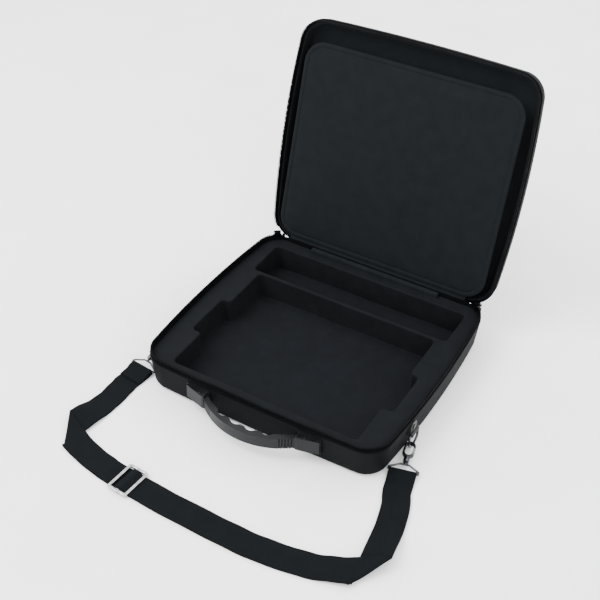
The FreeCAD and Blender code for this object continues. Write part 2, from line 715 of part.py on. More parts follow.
def make_bracket():
    """Right-hand wall plate with the wedge cap that takes the end of the grip."""
    body = helper_body("bracket_body")
    plate = new_sketch(body, "plate", offset=cell("{plate_bottom}"))
    rectangle(plate, "{plate_inner}", "{plate_outer}", "-{plate_front}", "-{plate_back}")
    pad(body, plate, "{plate_height}", "plate_pad")
    wedge = new_sketch(body, "wedge", offset=cell("{cap_bottom}"))
    inner, outer = dim("cap_inner"), dim("cap_outer")
    front = -dim("plate_front")
    polygon(wedge, [(outer, front + 0.5), (outer, front - dim("cap_end")),
                    (inner + 4, dim("cap_front")), (inner, dim("cap_front")),
                    (inner, front + 0.5)])
    pad(body, wedge, "{cap_height}", "wedge_pad")
    relief = "{lug_relief} - {lug_play}"
    cavity = new_sketch(body, "lug_cavity", offset=cell("{grip_bottom} + " + relief))
    polygon(cavity, LUG_HOLLOW)
    hollow = add(body, "Pocket", "lug_hollow", Profile=cavity, Reversed=True)
    hollow.setExpression("Length", cell("{grip_height} - 2 * (%s)" % relief))
    recess = new_sketch(body, "top_recess", offset=cell("{cap_bottom} + {cap_height}"))
    polygon(recess, [(inner + 3, -197.8), (inner + 6, -197.8), (outer - 3.5, -191.6),
                     (inner + 3, -191.6)])
    add(body, "Pocket", "top_recess_cut", Profile=recess, Length=1.6)
    pin = new_sketch(body, "pin_hole")
    pin.addGeometry(Part.Circle(V(dim("pin_x"), dim("pin_y"), 0), Z_AXIS, dim("pin_radius")),
                    False)
    cut_through(body, pin, "pin_bore")
    return cut(body, fuse(outer_fit, *front_bars(-190.4, -170, dim("rivet_radius"))))


right_bracket = keep(make_bracket(), "handle_bracket_right")
keep(mirrored(right_bracket), "handle_bracket_left")
make_grip()
pin_low, pin_high = dim("cap_bottom") + 0.5, dim("cap_bottom") + dim("cap_height") - 2.0
keep(fuse(*[rod((sx * dim("pin_x"), dim("pin_y"), pin_low),
                (sx * dim("pin_x"), dim("pin_y"), pin_high), dim("pin_radius") - 0.05)
            for sx in (-1, 1)]), "handle_pins")

plates = [plate_box(side, -188, -176, 0) for side in (-1, 1)]
backing = cut(common(fuse(*plates), inner_fit), backing_fit)
keep(cut(backing, fuse(*front_bars(-192, -170, HOLE_RADIUS))), "handle_backing_plates")
heads = fuse(*front_bars(-186, -178.4, dim("rivet_head")))
head_fit = wall_fit("head_fit", "head_fit_low", "head_fit_high")
keep(fuse(common(heads, head_fit), *front_bars(-190.3, -179, SHANK_RADIUS)), "handle_rivets")


# ---------------------------------------------------------------- side tabs and D rings
def side_frame(side, swing):
    """Frame of a side tab: origin on the rivet at the ring plane, Z up along the tab."""
    turn = FreeCAD.Rotation(X_AXIS, -swing)
    return FreeCAD.Placement(V(side * dim("ring_plane"), dim("tab_y"), dim("rivet_z")), turn)


def make_tab(label, side, swing):
    half = dim("tab_width") / 2
    drop = dim("ring_bar_drop")
    inward = -side * 7
    slab = box((min(inward, -side * 0.9), -half, -drop), (max(inward, -side * 0.9), half, 0))
    crown = rod((inward, 0, 0), (-side * 0.9, 0, 0), half)
    eye = rod((0, -half, -drop), (0, half, -drop), dim("ring_wire") + 1.5)
    tab = fuse(slab, crown, eye)
    bore = rod((0, -half - 1, -drop), (0, half + 1, -drop), dim("ring_wire") + 0.05)
    rivet = rod((-10, 0, 0), (10, 0, 0), HOLE_RADIUS)
    drilled = cut(tab, fuse(bore, rivet))
    drilled.Placement = side_frame(side, swing)
    return keep(cut(drilled, outer_fit), label)


def make_ring(label, side, swing, lean):
    """D ring: straight bar through the tab, two legs and a half-round end; it may stand off
    the wall by a lean about its bar."""
    drop, leg = dim("ring_bar_drop"), dim("ring_leg")
    r, wire = dim("ring_radius"), dim("ring_wire")
    end = -drop - leg
    bend = put(solid("Torus", Radius1=r, Radius2=wire, Angle3=180.0), (0, 0, end),
               FreeCAD.Rotation(V(0, -1, 0), V(0, 0, -1), V(1, 0, 0), "ZXY"))
    ring = fuse(rod((0, -r, -drop), (0, r, -drop), wire), rod((0, -r, -drop), (0, -r, end), wire),
                rod((0, r, -drop), (0, r, end), wire), ball((0, -r, -drop), wire),
                ball((0, r, -drop), wire), bend)
    about_bar = FreeCAD.Placement(V(), FreeCAD.Rotation(Y_AXIS, -side * lean), V(0, 0, -drop))
    ring.Placement = side_frame(side, swing).multiply(about_bar)
    return keep(ring, label)


rivet_parts = []
for side, swing, lean, word in ((1, 0.0, 0.0, "right"),
                                (-1, dim("left_tab_swing"), dim("left_ring_lean"), "left")):
    make_tab("side_tab_" + word, side, swing)
    make_ring("d_ring_" + word, side, swing, lean)
    head = dim("ring_plane") - 0.85
    rivet_parts += [side_bar(side, 198, head + 0.5, SHANK_RADIUS),
                    side_bar(side, head, head + 1.3, dim("rivet_head")),
                    common(side_bar(side, 197, 200, dim("rivet_head") - 0.6), inner_fit)]
keep(fuse(*rivet_parts), "side_tab_rivets")


# ---------------------------------------------------------------- snap hooks on swivel eyes
# for each hook: the middle of its bow, the middle of the bar that holds the webbing, and the
# direction its flat faces
HOOK = {"right": ((207.8, -99.3, 11.8), (218.6, -145.2, 5.0), (0, -0.1, 1)),
        "left": ((-210.7, -118.6, 22.7), (-215.4, -163.0, 5.2), (0, -0.45, 0.9))}


def hook_frames(word):
    """Frame of a hook and of its eye: Y from the swivel to the bow, Z out of the flat of each."""
    bow, bar, normal = HOOK[word]
    along = (V(*bow) - V(*bar)).normalize()
    origin = V(*bow) - along * (dim("hook_length") - 4.0)
    return frame_on(origin, along, normal), frame_on(origin, along, (0, 0, 1))


GATE_PIN = V(dim("gate_pin_x"), dim("gate_pin_y"), 0)


def make_hook(label, frame):
    body = new_body(label)
    half = dim("hook_half")
    profile = new_sketch(body, "profile")
    rounded_rectangle(profile, -half, half, 7.0, dim("hook_length"), half - 0.01)
    plate = add(body, "Pad", "plate", Profile=profile, Midplane=True)
    plate.setExpression("Length", cell("{hook_thickness}"))
    window = new_sketch(body, "window")
    opening = dim("hook_opening")
    rounded_rectangle(window, -opening, opening, 12.5, dim("hook_length") - 4, opening - 0.01)
    opened = cut_through(body, window, "opening")
    fillet(body, opened, lambda p, e: abs(abs(p.z) - dim("hook_thickness") / 2) < 0.01, "1.2 mm")
    barrel = new_sketch(body, "barrel")
    polygon(barrel, [(0, 0), (4.5, 0), (4.5, 8.5), (0, 8.5)])
    add(body, "Revolution", "barrel_turned", Profile=barrel, ReferenceAxis=(barrel, ["V_Axis"]),
        Angle=360.0)
    bore = new_sketch(body, "bore")
    polygon(bore, [(0, -1), (2.15, -1), (2.15, 3), (3.3, 3), (3.3, 6.5), (0, 6.5)])
    add(body, "Groove", "bore_turned", Profile=bore, ReferenceAxis=(bore, ["V_Axis"]),
        Angle=360.0)
    notch = new_sketch(body, "gate_notch")
    polygon(notch, [(4.4, 17.0), (9.5, 17.0), (9.5, 26.0), (4.4, 26.0)])
    cut_through(body, notch, "gate_opening")
    slot = new_sketch(body, "gate_slot")
    polygon(slot, [(4.4, 12.9), (9.5, 12.9), (9.5, 17.5), (4.4, 17.5)])
    add(body, "Pocket", "gate_slot_cut", Profile=slot, Length=dim("gate_thickness") + 0.2,
        Midplane=True)
    pin = new_sketch(body, "gate_pin_hole")
    pin.addGeometry(Part.Circle(GATE_PIN, Z_AXIS, dim("gate_pin_radius")), False)
    cut_through(body, pin, "gate_pin_bore")
    body.Placement = frame
    return body


def make_gate(label, frame):
    body = new_body(label)
    sketch = new_sketch(body, "gate_outline")
    side, end = V(dim("gate_half"), 0, 0), V(0, dim("gate_end") - GATE_PIN.y, 0)
    sketch.addGeometry([
        arc(GATE_PIN.x, GATE_PIN.y, dim("gate_half"), 180, 360),
        Part.LineSegment(GATE_PIN + side, GATE_PIN + side + end),
        Part.LineSegment(GATE_PIN + side + end, GATE_PIN - side + end),
        Part.LineSegment(GATE_PIN - side + end, GATE_PIN - side),
    ], False)
    for a in range(4):
        constrain(sketch, "Coincident", a, 2, (a + 1) % 4, 1)
    add(body, "Pad", "gate_pad", Profile=sketch, Length=dim("gate_thickness"), Midplane=True)
    pin = new_sketch(body, "pin_hole")
    pin.addGeometry(Part.Circle(GATE_PIN, Z_AXIS, dim("gate_pin_radius")), False)
    cut_through(body, pin, "pin_bore")
    body.Placement = frame
    return body


def make_eye(label, frame):
    reach, half, wire = dim("eye_reach"), dim("eye_half"), dim("eye_wire")
    shoulder = [(half, -reach, 0), (half, 3.8 - reach, 0), (half - 1.8, 5.1 - reach, 0),
                (6, -4, 0)]
    bars = []
    for side in (-1, 1):
        points = [(side * x, y, z) for x, y, z in shoulder]
        bars += [rod(a, b, wire) for a, b in zip(points, points[1:])]
        bars += [ball(p, wire + 0.04) for p in points]
    bars.append(rod((-half, -reach, 0), (half, -reach, 0), wire))
    bars.append(rod((-6, -4, 0), (6, -4, 0), wire))
    post = fuse(rod((0, -4.2, 0), (0, 5.0, 0), dim("swivel_post")),
                rod((0, 3.4, 0), (0, 5.8, 0), 3.0))
    eye = fuse(*bars, post)
    eye.Placement = frame
    return keep(eye, label)


LOOPS = {}
for word in ("right", "left"):
    hook_frame, eye_frame = hook_frames(word)
    make_hook("snap_hook_" + word, hook_frame)
    make_gate("hook_gate_" + word, hook_frame)
    make_eye("swivel_eye_" + word, eye_frame)
    pin = rod((GATE_PIN.x, GATE_PIN.y, -2.4), (GATE_PIN.x, GATE_PIN.y, 2.4),
              dim("gate_pin_radius") - 0.04)
    pin.Placement = hook_frame.multiply(pin.Placement)
    keep(pin, "gate_pin_" + word)
    LOOPS[word] = eye_frame


# ---------------------------------------------------------------- shoulder strap
def make_loop(label, eye_frame):
    """End of the webbing turned round the far bar of a swivel eye; lies down to the floor.
    Returns the point of the floor where the loop meets the strap, and its heading."""
    bar = eye_frame.multVec(V(0, -dim("eye_reach"), 0))
    along = eye_frame.Rotation.multVec(Y_AXIS)
    heading = V(-along.x, -along.y, 0).normalize()
    flat = FreeCAD.Rotation(heading, V(0, 0, 1), heading.cross(V(0, 0, 1)), "ZXY")
    length, thick = dim("loop_length"), dim("webbing")
    wire = dim("eye_wire") + 0.2
    outer = wire + dim("loop_wall")
    low = -bar.z
    body = new_body(label)
    side = new_sketch(body, "side")
    far = V(length, low + thick, 0)
    near = V(length, low + 0.02, 0)
    top = tangent_point(far, outer, 1)
    bottom = tangent_point(near, outer, -1)
    start, end = (math.degrees(math.atan2(p.y, p.x)) for p in (top, bottom))
    side.addGeometry([arc(0, 0, outer, start, end + 360), Part.LineSegment(bottom, near),
                      Part.LineSegment(near, far), Part.LineSegment(far, top)], False)
    for a in range(4):
        constrain(side, "Coincident", a, 2, (a + 1) % 4, 1)
    side.addGeometry(Part.Circle(V(), Z_AXIS, wire), False)
    add(body, "Pad", "loop_pad", Profile=side, Length=dim("webbing_width") - 0.6, Midplane=True)
    body.Placement = FreeCAD.Placement(bar, flat)
    return V(bar.x, bar.y, 0) + heading * length, heading


def tangent_point(point, radius, side):
    """Where the tangent from a point touches a circle round the origin."""
    distance = point.Length
    turn = math.acos(radius / distance) * side
    base_angle = math.atan2(point.y, point.x)
    return V(radius * math.cos(base_angle + turn), radius * math.sin(base_angle + turn), 0)


def rounded_route(points, radii):
    """Straight runs joined by tangent arcs: (start, end) of each run and (start, middle, end,
    centre, sense) of each arc; the sense is 1 for a turn to the right."""
    pieces, start = [], V(*points[0], 0)
    for i in range(1, len(points) - 1):
        corner = V(*points[i], 0)
        before = (V(*points[i - 1], 0) - corner).normalize()
        after = (V(*points[i + 1], 0) - corner).normalize()
        half_turn = (math.pi - before.getAngle(after)) / 2
        radius = radii[i - 1]
        a = corner + before * (radius * math.tan(half_turn))
        b = corner + after * (radius * math.tan(half_turn))
        bisector = (before + after).normalize()
        centre = corner + bisector * (radius / math.cos(half_turn))
        sense = 1.0 if before.cross(after).z > 0 else -1.0
        pieces.append((start, a))
        pieces.append((a, centre - bisector * radius, b, centre, sense))
        start = b
    pieces.append((start, V(*points[-1], 0)))
    return pieces


def turn_radii(points):
    """Radius of each corner of a route: 0.45 of the shorter run over the tangent of half the
    turn, and never below a tight fold."""
    radii = []
    for i in range(1, len(points) - 1):
        before = V(*points[i - 1], 0) - V(*points[i], 0)
        after = V(*points[i + 1], 0) - V(*points[i], 0)
        half_turn = (math.pi - before.getAngle(after)) / 2
        radii.append(0.45 * min(before.Length, after.Length) / math.tan(half_turn))
    return radii


# plan of the strap on the floor between its two loops, from the left hook to the right one
STRAP_ROUTE = [(-218, -235), (-226, -277), (-234, -327), (-190, -341), (-150, -349), (-112, -354),
               (-41, -359.5), (60, -361), (115, -360.5), (183, -350), (222, -338), (256, -325),
               (247, -254), (237, -204)]
LOOP_EXIT = 13.0        # each end leaves its loop squarely for this far


def make_strap(start, start_heading, end, end_heading):
    ends = [start + start_heading * 0.3, start + start_heading * LOOP_EXIT,
            end + end_heading * LOOP_EXIT, end + end_heading * 0.3]
    first, second, last_but_one, last = [(p.x, p.y) for p in ends]
    points = [first, second] + STRAP_ROUTE + [last_but_one, last]
    route = rounded_route(points, turn_radii(points))
    half = dim("webbing_width") / 2
    left = offset_route(route, half)
    right = offset_route(route, -half)
    body = new_body("strap_webbing")
    sketch = new_sketch(body, "outline")
    closing = [Part.LineSegment(left[0].StartPoint, right[0].StartPoint),
               Part.LineSegment(left[-1].EndPoint, right[-1].EndPoint)]
    sketch.addGeometry(left + right + closing, False)
    pad(body, sketch, "{webbing}")


def offset_route(route, distance):
    """Curves of the route moved sideways; positive is to the left of its heading."""
    moved = []
    for piece in route:
        if len(piece) == 2:
            along = (piece[1] - piece[0]).normalize()
            side = V(-along.y, along.x, 0) * distance
            moved.append(Part.LineSegment(piece[0] + side, piece[1] + side))
        else:
            centre, sense = piece[3:]
            points = [p + (p - centre).normalize() * (distance * sense) for p in piece[:3]]
            moved.append(Part.Arc(*points))
    return moved


left_start, left_heading = make_loop("strap_loop_left", LOOPS["left"])
right_start, right_heading = make_loop("strap_loop_right", LOOPS["right"])
make_strap(left_start, left_heading, right_start, right_heading)


def make_buckle():
    """Three-bar strap adjuster that lies on the webbing."""
    body = new_body("strap_slider")
    level = dim("webbing") + 0.3
    long_half, wide_half = dim("buckle_length") / 2, dim("buckle_width") / 2
    bar = dim("buckle_bar")
    plate = new_sketch(body, "frame", offset=str(level) + " mm")
    rounded_rectangle(plate, -long_half, long_half, -wide_half, wide_half, 4.0)
    window = (2 * long_half - 3 * bar) / 2
    for x0 in (-long_half + bar, long_half - bar - window):
        rounded_rectangle(plate, x0, x0 + window, -wide_half + 4, wide_half - 4, 1.5)
    frame = pad(body, plate, "{buckle_thickness}")
    top = level + dim("buckle_thickness")
    fillet(body, frame, lambda p, e: abs(p.z - top) < 0.01, "1 mm")
    body.Placement = FreeCAD.Placement(V(-96, -355, 0), FreeCAD.Rotation(Z_AXIS, -4.0))
    return body


make_buckle()


# ---------------------------------------------------------------- zip sliders and pulls
def corner_frame(side):
    """Axis of a rear corner: the sliders run round it."""
    reach = dim("case_width") / 2 - dim("corner_radius")
    back = dim("case_depth") / 2 - dim("corner_radius")
    return V(side * reach, back, 0)


def make_slider(label, side):
    body = helper_body(label + "_body")
    profile = new_sketch(body, "profile", role="XZ_Plane")
    polygon(profile, [(34.9, 56.6), (36.1, 56.6), (36.1, 62.0), (39.9, 62.0), (39.9, 56.6),
                      (41.3, 56.6), (41.3, 66.2), (39.9, 66.2), (39.9, 64.5), (36.1, 64.5),
                      (36.1, 66.2), (34.9, 66.2)])
    turned = add(body, "Revolution", "turned", Profile=profile,
                 ReferenceAxis=(profile, ["V_Axis"]))
    turned.setExpression("Angle", cell("{slider_angle}"))
    doc.recompute()
    middle = body.Shape.CenterOfMass
    now = math.degrees(math.atan2(middle.y, middle.x))
    wanted = dim("slider_park") + dim("slider_angle") / 2
    wanted = wanted if side > 0 else 180 - wanted
    bail = fuse(*[box((41.0, y0, 59.2), (45.6, y0 + 1.4, 63.6)) for y0 in (-2.6, 1.2)])
    bore = rod((dim("pull_radius"), -4, dim("pull_height")),
               (dim("pull_radius"), 4, dim("pull_height")), 1.0)
    centre = corner_frame(side)
    bail_part = cut(bail, bore)
    bail_part.Placement = FreeCAD.Placement(centre, FreeCAD.Rotation(Z_AXIS, wanted))
    body.Placement = FreeCAD.Placement(centre, FreeCAD.Rotation(Z_AXIS, wanted - now))
    return keep(fuse(body, bail_part), label)


def make_pull(label, side):
    r, z = dim("pull_radius"), dim("pull_height")
    half = dim("pull_width") / 2
    neck = box((r - 0.8, -1.0, z - 5), (r + 0.8, 1.0, z + 0.4))
    pin = rod((r, -2.9, z), (r, 2.9, z), 0.95)
    tab = box((r - 0.8, -half, z - dim("pull_length")), (r + 0.8, half, z - 4.6))
    pull = fuse(neck, pin, tab)
    wanted = dim("slider_park") + dim("slider_angle") / 2
    wanted = wanted if side > 0 else 180 - wanted
    pull.Placement = FreeCAD.Placement(corner_frame(side), FreeCAD.Rotation(Z_AXIS, wanted))
    return keep(pull, label)


for side, word in ((1, "right"), (-1, "left")):
    make_slider("zip_slider_" + word, side)
    make_pull("zip_pull_" + word, side)


# ---------------------------------------------------------------- check and write
doc.recompute()
os.makedirs("parts", exist_ok=True)
for item in doc.Objects:
    if "Invalid" in item.State or "Error" in item.State:
        raise RuntimeError("cannot rebuild " + item.Label)
for item in sub_parts:
    if item.Shape.isNull() or not item.Shape.isValid() or not item.Shape.Solids:
        raise RuntimeError("bad shape: " + item.Label)
    item.Shape.exportStep("parts/" + item.Label + ".step")
print(len(sub_parts), "sub-parts written")
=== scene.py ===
"""Look of the open hard-shell carry case: fabrics, zip, hardware and shoulder strap, built round
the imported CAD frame. Metres, origin at the centre of the base's underside, handle on -Y."""

import json
import math
from collections import namedtuple

import bmesh
import bpy
from mathutils import Matrix, Vector
from mathutils.bvhtree import BVHTree


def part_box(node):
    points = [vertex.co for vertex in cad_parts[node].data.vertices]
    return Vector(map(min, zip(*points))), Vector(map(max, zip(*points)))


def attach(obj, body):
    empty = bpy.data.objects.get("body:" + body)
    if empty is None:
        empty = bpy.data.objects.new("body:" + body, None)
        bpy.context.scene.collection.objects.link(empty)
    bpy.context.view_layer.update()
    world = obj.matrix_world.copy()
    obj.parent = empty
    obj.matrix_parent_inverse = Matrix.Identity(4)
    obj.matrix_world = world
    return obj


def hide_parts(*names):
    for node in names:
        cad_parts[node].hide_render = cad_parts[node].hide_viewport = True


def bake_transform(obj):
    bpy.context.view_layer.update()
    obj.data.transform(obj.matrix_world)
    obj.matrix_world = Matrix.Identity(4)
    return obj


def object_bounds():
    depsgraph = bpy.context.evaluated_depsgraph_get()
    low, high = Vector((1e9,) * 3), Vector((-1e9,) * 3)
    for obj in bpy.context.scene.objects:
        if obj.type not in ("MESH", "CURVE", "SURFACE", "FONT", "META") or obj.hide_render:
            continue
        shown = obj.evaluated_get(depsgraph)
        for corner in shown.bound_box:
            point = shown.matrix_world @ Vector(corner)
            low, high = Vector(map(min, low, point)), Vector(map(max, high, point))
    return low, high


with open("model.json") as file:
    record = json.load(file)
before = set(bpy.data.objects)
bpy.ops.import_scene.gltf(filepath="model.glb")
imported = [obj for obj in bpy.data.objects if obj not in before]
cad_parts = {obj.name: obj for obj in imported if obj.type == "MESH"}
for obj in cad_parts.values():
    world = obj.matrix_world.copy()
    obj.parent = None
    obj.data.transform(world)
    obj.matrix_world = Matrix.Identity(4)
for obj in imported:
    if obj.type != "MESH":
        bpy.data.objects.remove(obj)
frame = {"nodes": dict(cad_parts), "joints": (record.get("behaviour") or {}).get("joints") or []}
cad_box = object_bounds()
nodes = frame["nodes"]

# ---------------------------------------------------------------- materials
class Shader:
    """Small helper that builds one node material."""

    def __init__(self, name, color, roughness, metallic=0.0, specular=0.5):
        self.material = bpy.data.materials.new(name)
        self.material.use_nodes = True
        self.tree = self.material.node_tree
        self.bsdf = self.tree.nodes["Principled BSDF"]
        self.bsdf.inputs["Base Color"].default_value = (*color, 1)
        self.bsdf.inputs["Roughness"].default_value = roughness
        self.bsdf.inputs["Metallic"].default_value = metallic
        self.bsdf.inputs["Specular IOR Level"].default_value = specular
        self.material.diffuse_color = (*color, 1)

    def node(self, kind, **inputs):
        node = self.tree.nodes.new("ShaderNode" + kind)
        for key, value in inputs.items():
            node.inputs[key.replace("_", " ")].default_value = value
        return node

    def link(self, source, target):
        self.tree.links.new(source, target)

    def math(self, operation, *values):
        """Output of a math node whose inputs are sockets or numbers."""
        node = self.node("Math")
        node.operation = operation
        for value, slot in zip(values, node.inputs):
            if isinstance(value, float):
                slot.default_value = value
            else:
                self.link(value, slot)
        return node.outputs[0]

    def coordinates(self):
        return self.node("TexCoord").outputs["Object"]

    def noise(self, scale, detail=3.0):
        noise = self.node("TexNoise", Scale=scale, Detail=detail)
        self.link(self.coordinates(), noise.inputs["Vector"])
        return noise.outputs["Fac"]

    def vary_color(self, factor, dark, light, low=0.35, high=0.65):
        """Base colour that runs between two colours with a 0-1 pattern."""
        ramp = self.node("ValToRGB")
        ramp.color_ramp.elements[0].position = low
        ramp.color_ramp.elements[1].position = high
        ramp.color_ramp.elements[0].color = (*dark, 1)
        ramp.color_ramp.elements[1].color = (*light, 1)
        self.link(factor, ramp.inputs["Fac"])
        self.link(ramp.outputs["Color"], self.bsdf.inputs["Base Color"])

    def vary_roughness(self, factor, low, high):
        span = self.node("MapRange", To_Min=low, To_Max=high)
        self.link(factor, span.inputs["Value"])
        self.link(span.outputs["Result"], self.bsdf.inputs["Roughness"])

    def bump(self, height, strength, distance):
        bump = self.node("Bump", Strength=strength, Distance=distance)
        self.link(height, bump.inputs["Height"])
        previous = self.bsdf.inputs["Normal"]
        if previous.is_linked:
            self.link(previous.links[0].from_socket, bump.inputs["Normal"])
        self.link(bump.outputs["Normal"], previous)

    def weave(self, pitch, ways):
        """Plain weave without UVs: the product of waves that run through the object along the
        two given directions."""
        waves = []
        for way in ways:
            phase = self.node("VectorMath")
            phase.operation = "DOT_PRODUCT"
            phase.inputs[1].default_value = [part * 2 * math.pi / pitch for part in way]
            self.link(self.coordinates(), phase.inputs[0])
            waves.append(self.math("SINE", phase.outputs["Value"]))
        span = self.node("MapRange", From_Min=-1.0, From_Max=1.0)
        self.link(self.math("MULTIPLY", *waves), span.inputs["Value"])
        return span.outputs["Result"]


# directions of the threads: oblique ones show on walls and floors alike
OBLIQUE = ((1.0, 0.6, 0.35), (-0.45, 1.0, 0.9))
LEVEL = ((1.0, 0.0, 0.0), (0.0, 1.0, 0.0))


def woven(name, dark, light, pitch, depth, roughness, ways=OBLIQUE, contrast=0.35, gloss=0.05):
    """Woven cloth: a fine weave, a coarser mottling and hardly any gloss.

    contrast is the share of the weave in the colour, against that of the mottling."""
    shader = Shader(name, light, roughness, specular=gloss)
    weave = shader.weave(pitch, ways)
    mottle = shader.noise(55.0, 4.0)
    pattern = shader.math("MULTIPLY_ADD", weave, contrast,
                          shader.math("MULTIPLY", mottle, 1 - contrast))
    shader.vary_color(pattern, dark, light, 0.12, 0.88)
    shader.vary_roughness(mottle, roughness - 0.08, roughness + 0.08)
    shader.bump(weave, 0.4, depth)
    shader.bsdf.inputs["Sheen Weight"].default_value = 0.01
    shader.bsdf.inputs["Sheen Roughness"].default_value = 0.45
    return shader.material


def moulded(name, dark, light, roughness, grain, depth, gloss=0.3):
    """Moulded plastic or coated leather: fine grain and slightly uneven gloss."""
    shader = Shader(name, light, roughness, specular=gloss)
    mottle = shader.noise(30.0)
    shader.vary_color(mottle, dark, light)
    shader.vary_roughness(mottle, roughness - 0.05, roughness + 0.07)
    shader.bump(shader.noise(grain), 0.35, depth)
    return shader.material


def plated(name, dark, light, roughness):
    """Bright or lacquered metal with faint polishing marks."""
    shader = Shader(name, light, roughness, metallic=1.0)
    marks = shader.noise(140.0, 5.0)
    shader.vary_color(marks, dark, light)
    shader.vary_roughness(marks, roughness * 0.75, roughness * 1.35)
    shader.bump(marks, 0.08, 0.0001)
    return shader.material


MATERIALS = {
    "shell": woven("shell_laminate", (0.0018, 0.0022, 0.0027), (0.0040, 0.0049, 0.0057),
                   pitch=0.0016, depth=0.0001, roughness=0.66, gloss=0.03),
    "tray": woven("tray_fabric", (0.0021, 0.0025, 0.0031), (0.0058, 0.0066, 0.0082),
                  pitch=0.0014, depth=0.00012, roughness=0.8),
    "lining": woven("lid_lining_fabric", (0.0034, 0.0041, 0.0048), (0.0080, 0.0096, 0.0112),
                    pitch=0.0013, depth=0.0001, roughness=0.8),
    "divider": woven("divider_fabric", (0.0026, 0.0033, 0.0039), (0.0062, 0.0077, 0.0089),
                     pitch=0.0014, depth=0.0001, roughness=0.78),
    "piping": woven("piping_fabric", (0.0006, 0.0008, 0.0010), (0.0019, 0.0024, 0.0029),
                    pitch=0.0012, depth=0.0001, roughness=0.75, gloss=0.02),
    "tape": woven("zip_tape_fabric", (0.0006, 0.0007, 0.0009), (0.0020, 0.0023, 0.0027),
                  pitch=0.001, depth=0.0001, roughness=0.85, gloss=0.02),
    "webbing": woven("strap_webbing", (0.0016, 0.0021, 0.0025), (0.0048, 0.0059, 0.0068),
                     pitch=0.0022, depth=0.0002, roughness=0.74, ways=LEVEL, contrast=0.55,
                     gloss=0.03),
    "thread": woven("sewing_thread", (0.003, 0.0036, 0.0042), (0.010, 0.012, 0.0135),
                    pitch=0.0006, depth=0.00005, roughness=0.6),
    "teeth": moulded("zip_teeth_nylon", (0.0012, 0.0013, 0.0016), (0.0035, 0.0038, 0.0045),
                     roughness=0.5, grain=400.0, depth=0.00005, gloss=0.05),
    "grip": moulded("grip_plastic", (0.0026, 0.0032, 0.0038), (0.0054, 0.0064, 0.0074),
                    roughness=0.44, grain=900.0, depth=0.00003, gloss=0.16),
    "board": moulded("board_plastic", (0.010, 0.010, 0.011), (0.02, 0.02, 0.021),
                     roughness=0.5, grain=300.0, depth=0.00005),
    "tab": moulded("tab_coating", (0.003, 0.003, 0.0035), (0.007, 0.0075, 0.0085),
                   roughness=0.45, grain=700.0, depth=0.00012),
    "chrome": plated("bright_plating", (0.26, 0.265, 0.275), (0.48, 0.485, 0.495), 0.16),
    "nickel": plated("dark_plating", (0.030, 0.031, 0.034), (0.080, 0.083, 0.088), 0.2),
    "steel": plated("plain_steel", (0.17, 0.175, 0.185), (0.30, 0.305, 0.315), 0.28),
    "dark": plated("black_lacquer", (0.015, 0.015, 0.017), (0.04, 0.04, 0.044), 0.3),
}


def paint(material, *names):
    """Give a material to CAD nodes that are shown as they are."""
    for name in names:
        mesh = nodes[name].data
        mesh.materials.clear()
        mesh.materials.append(MATERIALS[material])


paint("shell", "base_shell", "lid_shell")
paint("tray", "base_insert")
paint("lining", "lid_lining", "inner_hinge_strip")
paint("piping", "base_piping", "lid_piping")
paint("tape", "base_zip_tape", "lid_zip_tape")
paint("board", "divider_board", "handle_backing_plates")
paint("grip", "handle_grip", "handle_bracket_left", "handle_bracket_right")
paint("tab", "side_tab_left", "side_tab_right")
paint("chrome", "strap_slider")
paint("nickel", "d_ring_left", "d_ring_right", "snap_hook_left", "snap_hook_right",
      "swivel_eye_left", "swivel_eye_right")
paint("steel", "handle_pins", "handle_rivets", "gate_pin_left", "gate_pin_right",
      "hook_gate_left", "hook_gate_right")
paint("dark", "zip_slider_left", "zip_slider_right", "zip_pull_left", "zip_pull_right",
      "zip_end_stops", "side_tab_rivets")


# ---------------------------------------------------------------- mesh helpers
def link_mesh(name, points, faces, material, smooth=True):
    """New object from points and faces, with outward normals and one material."""
    mesh = bpy.data.meshes.new(name)
    mesh.from_pydata([tuple(point) for point in points], [], faces)
    net = bmesh.new()
    net.from_mesh(mesh)
    bmesh.ops.recalc_face_normals(net, faces=net.faces)
    net.to_mesh(mesh)
    net.free()
    mesh.materials.append(MATERIALS[material])
    item = bpy.data.objects.new(name, mesh)
    bpy.context.collection.objects.link(item)
    mesh.polygons.foreach_set("use_smooth", [smooth] * len(mesh.polygons))
    return item


def smoothstep(value):
    value = min(1.0, max(0.0, value))
    return value * value * (3 - 2 * value)


def grid_faces(rows, columns, closed):
    """Quads between rows of points; closed joins the last column to the first."""
    faces = []
    for row in range(rows - 1):
        for column in range(columns if closed else columns - 1):
            beside = (column + 1) % columns
            faces.append((row * columns + column, row * columns + beside,
                          (row + 1) * columns + beside, (row + 1) * columns + column))
    return faces


def moved_faces(faces, first):
    """The same faces for points that start at another number."""
    return [tuple(first + corner for corner in face) for face in faces]


def row_normals(rows):
    """Unit surface normal at each point of a grid of rows."""
    normals = []
    for index, row in enumerate(rows):
        before = rows[max(0, index - 1)]
        after = rows[min(len(rows) - 1, index + 1)]
        across = row[-1] - row[0]
        normals.append([(after[lane] - before[lane]).cross(across).normalized()
                        for lane in range(len(row))])
    return normals


# ---------------------------------------------------------------- sewing
STITCH_SIDES = 6
# each ring of a stitch: place along it in lengths, radius and height in threads
STITCH_RINGS = ((-0.5, 0.35, -0.35), (-0.3, 1, 0.25), (0.3, 1, 0.25), (0.5, 0.35, -0.35))


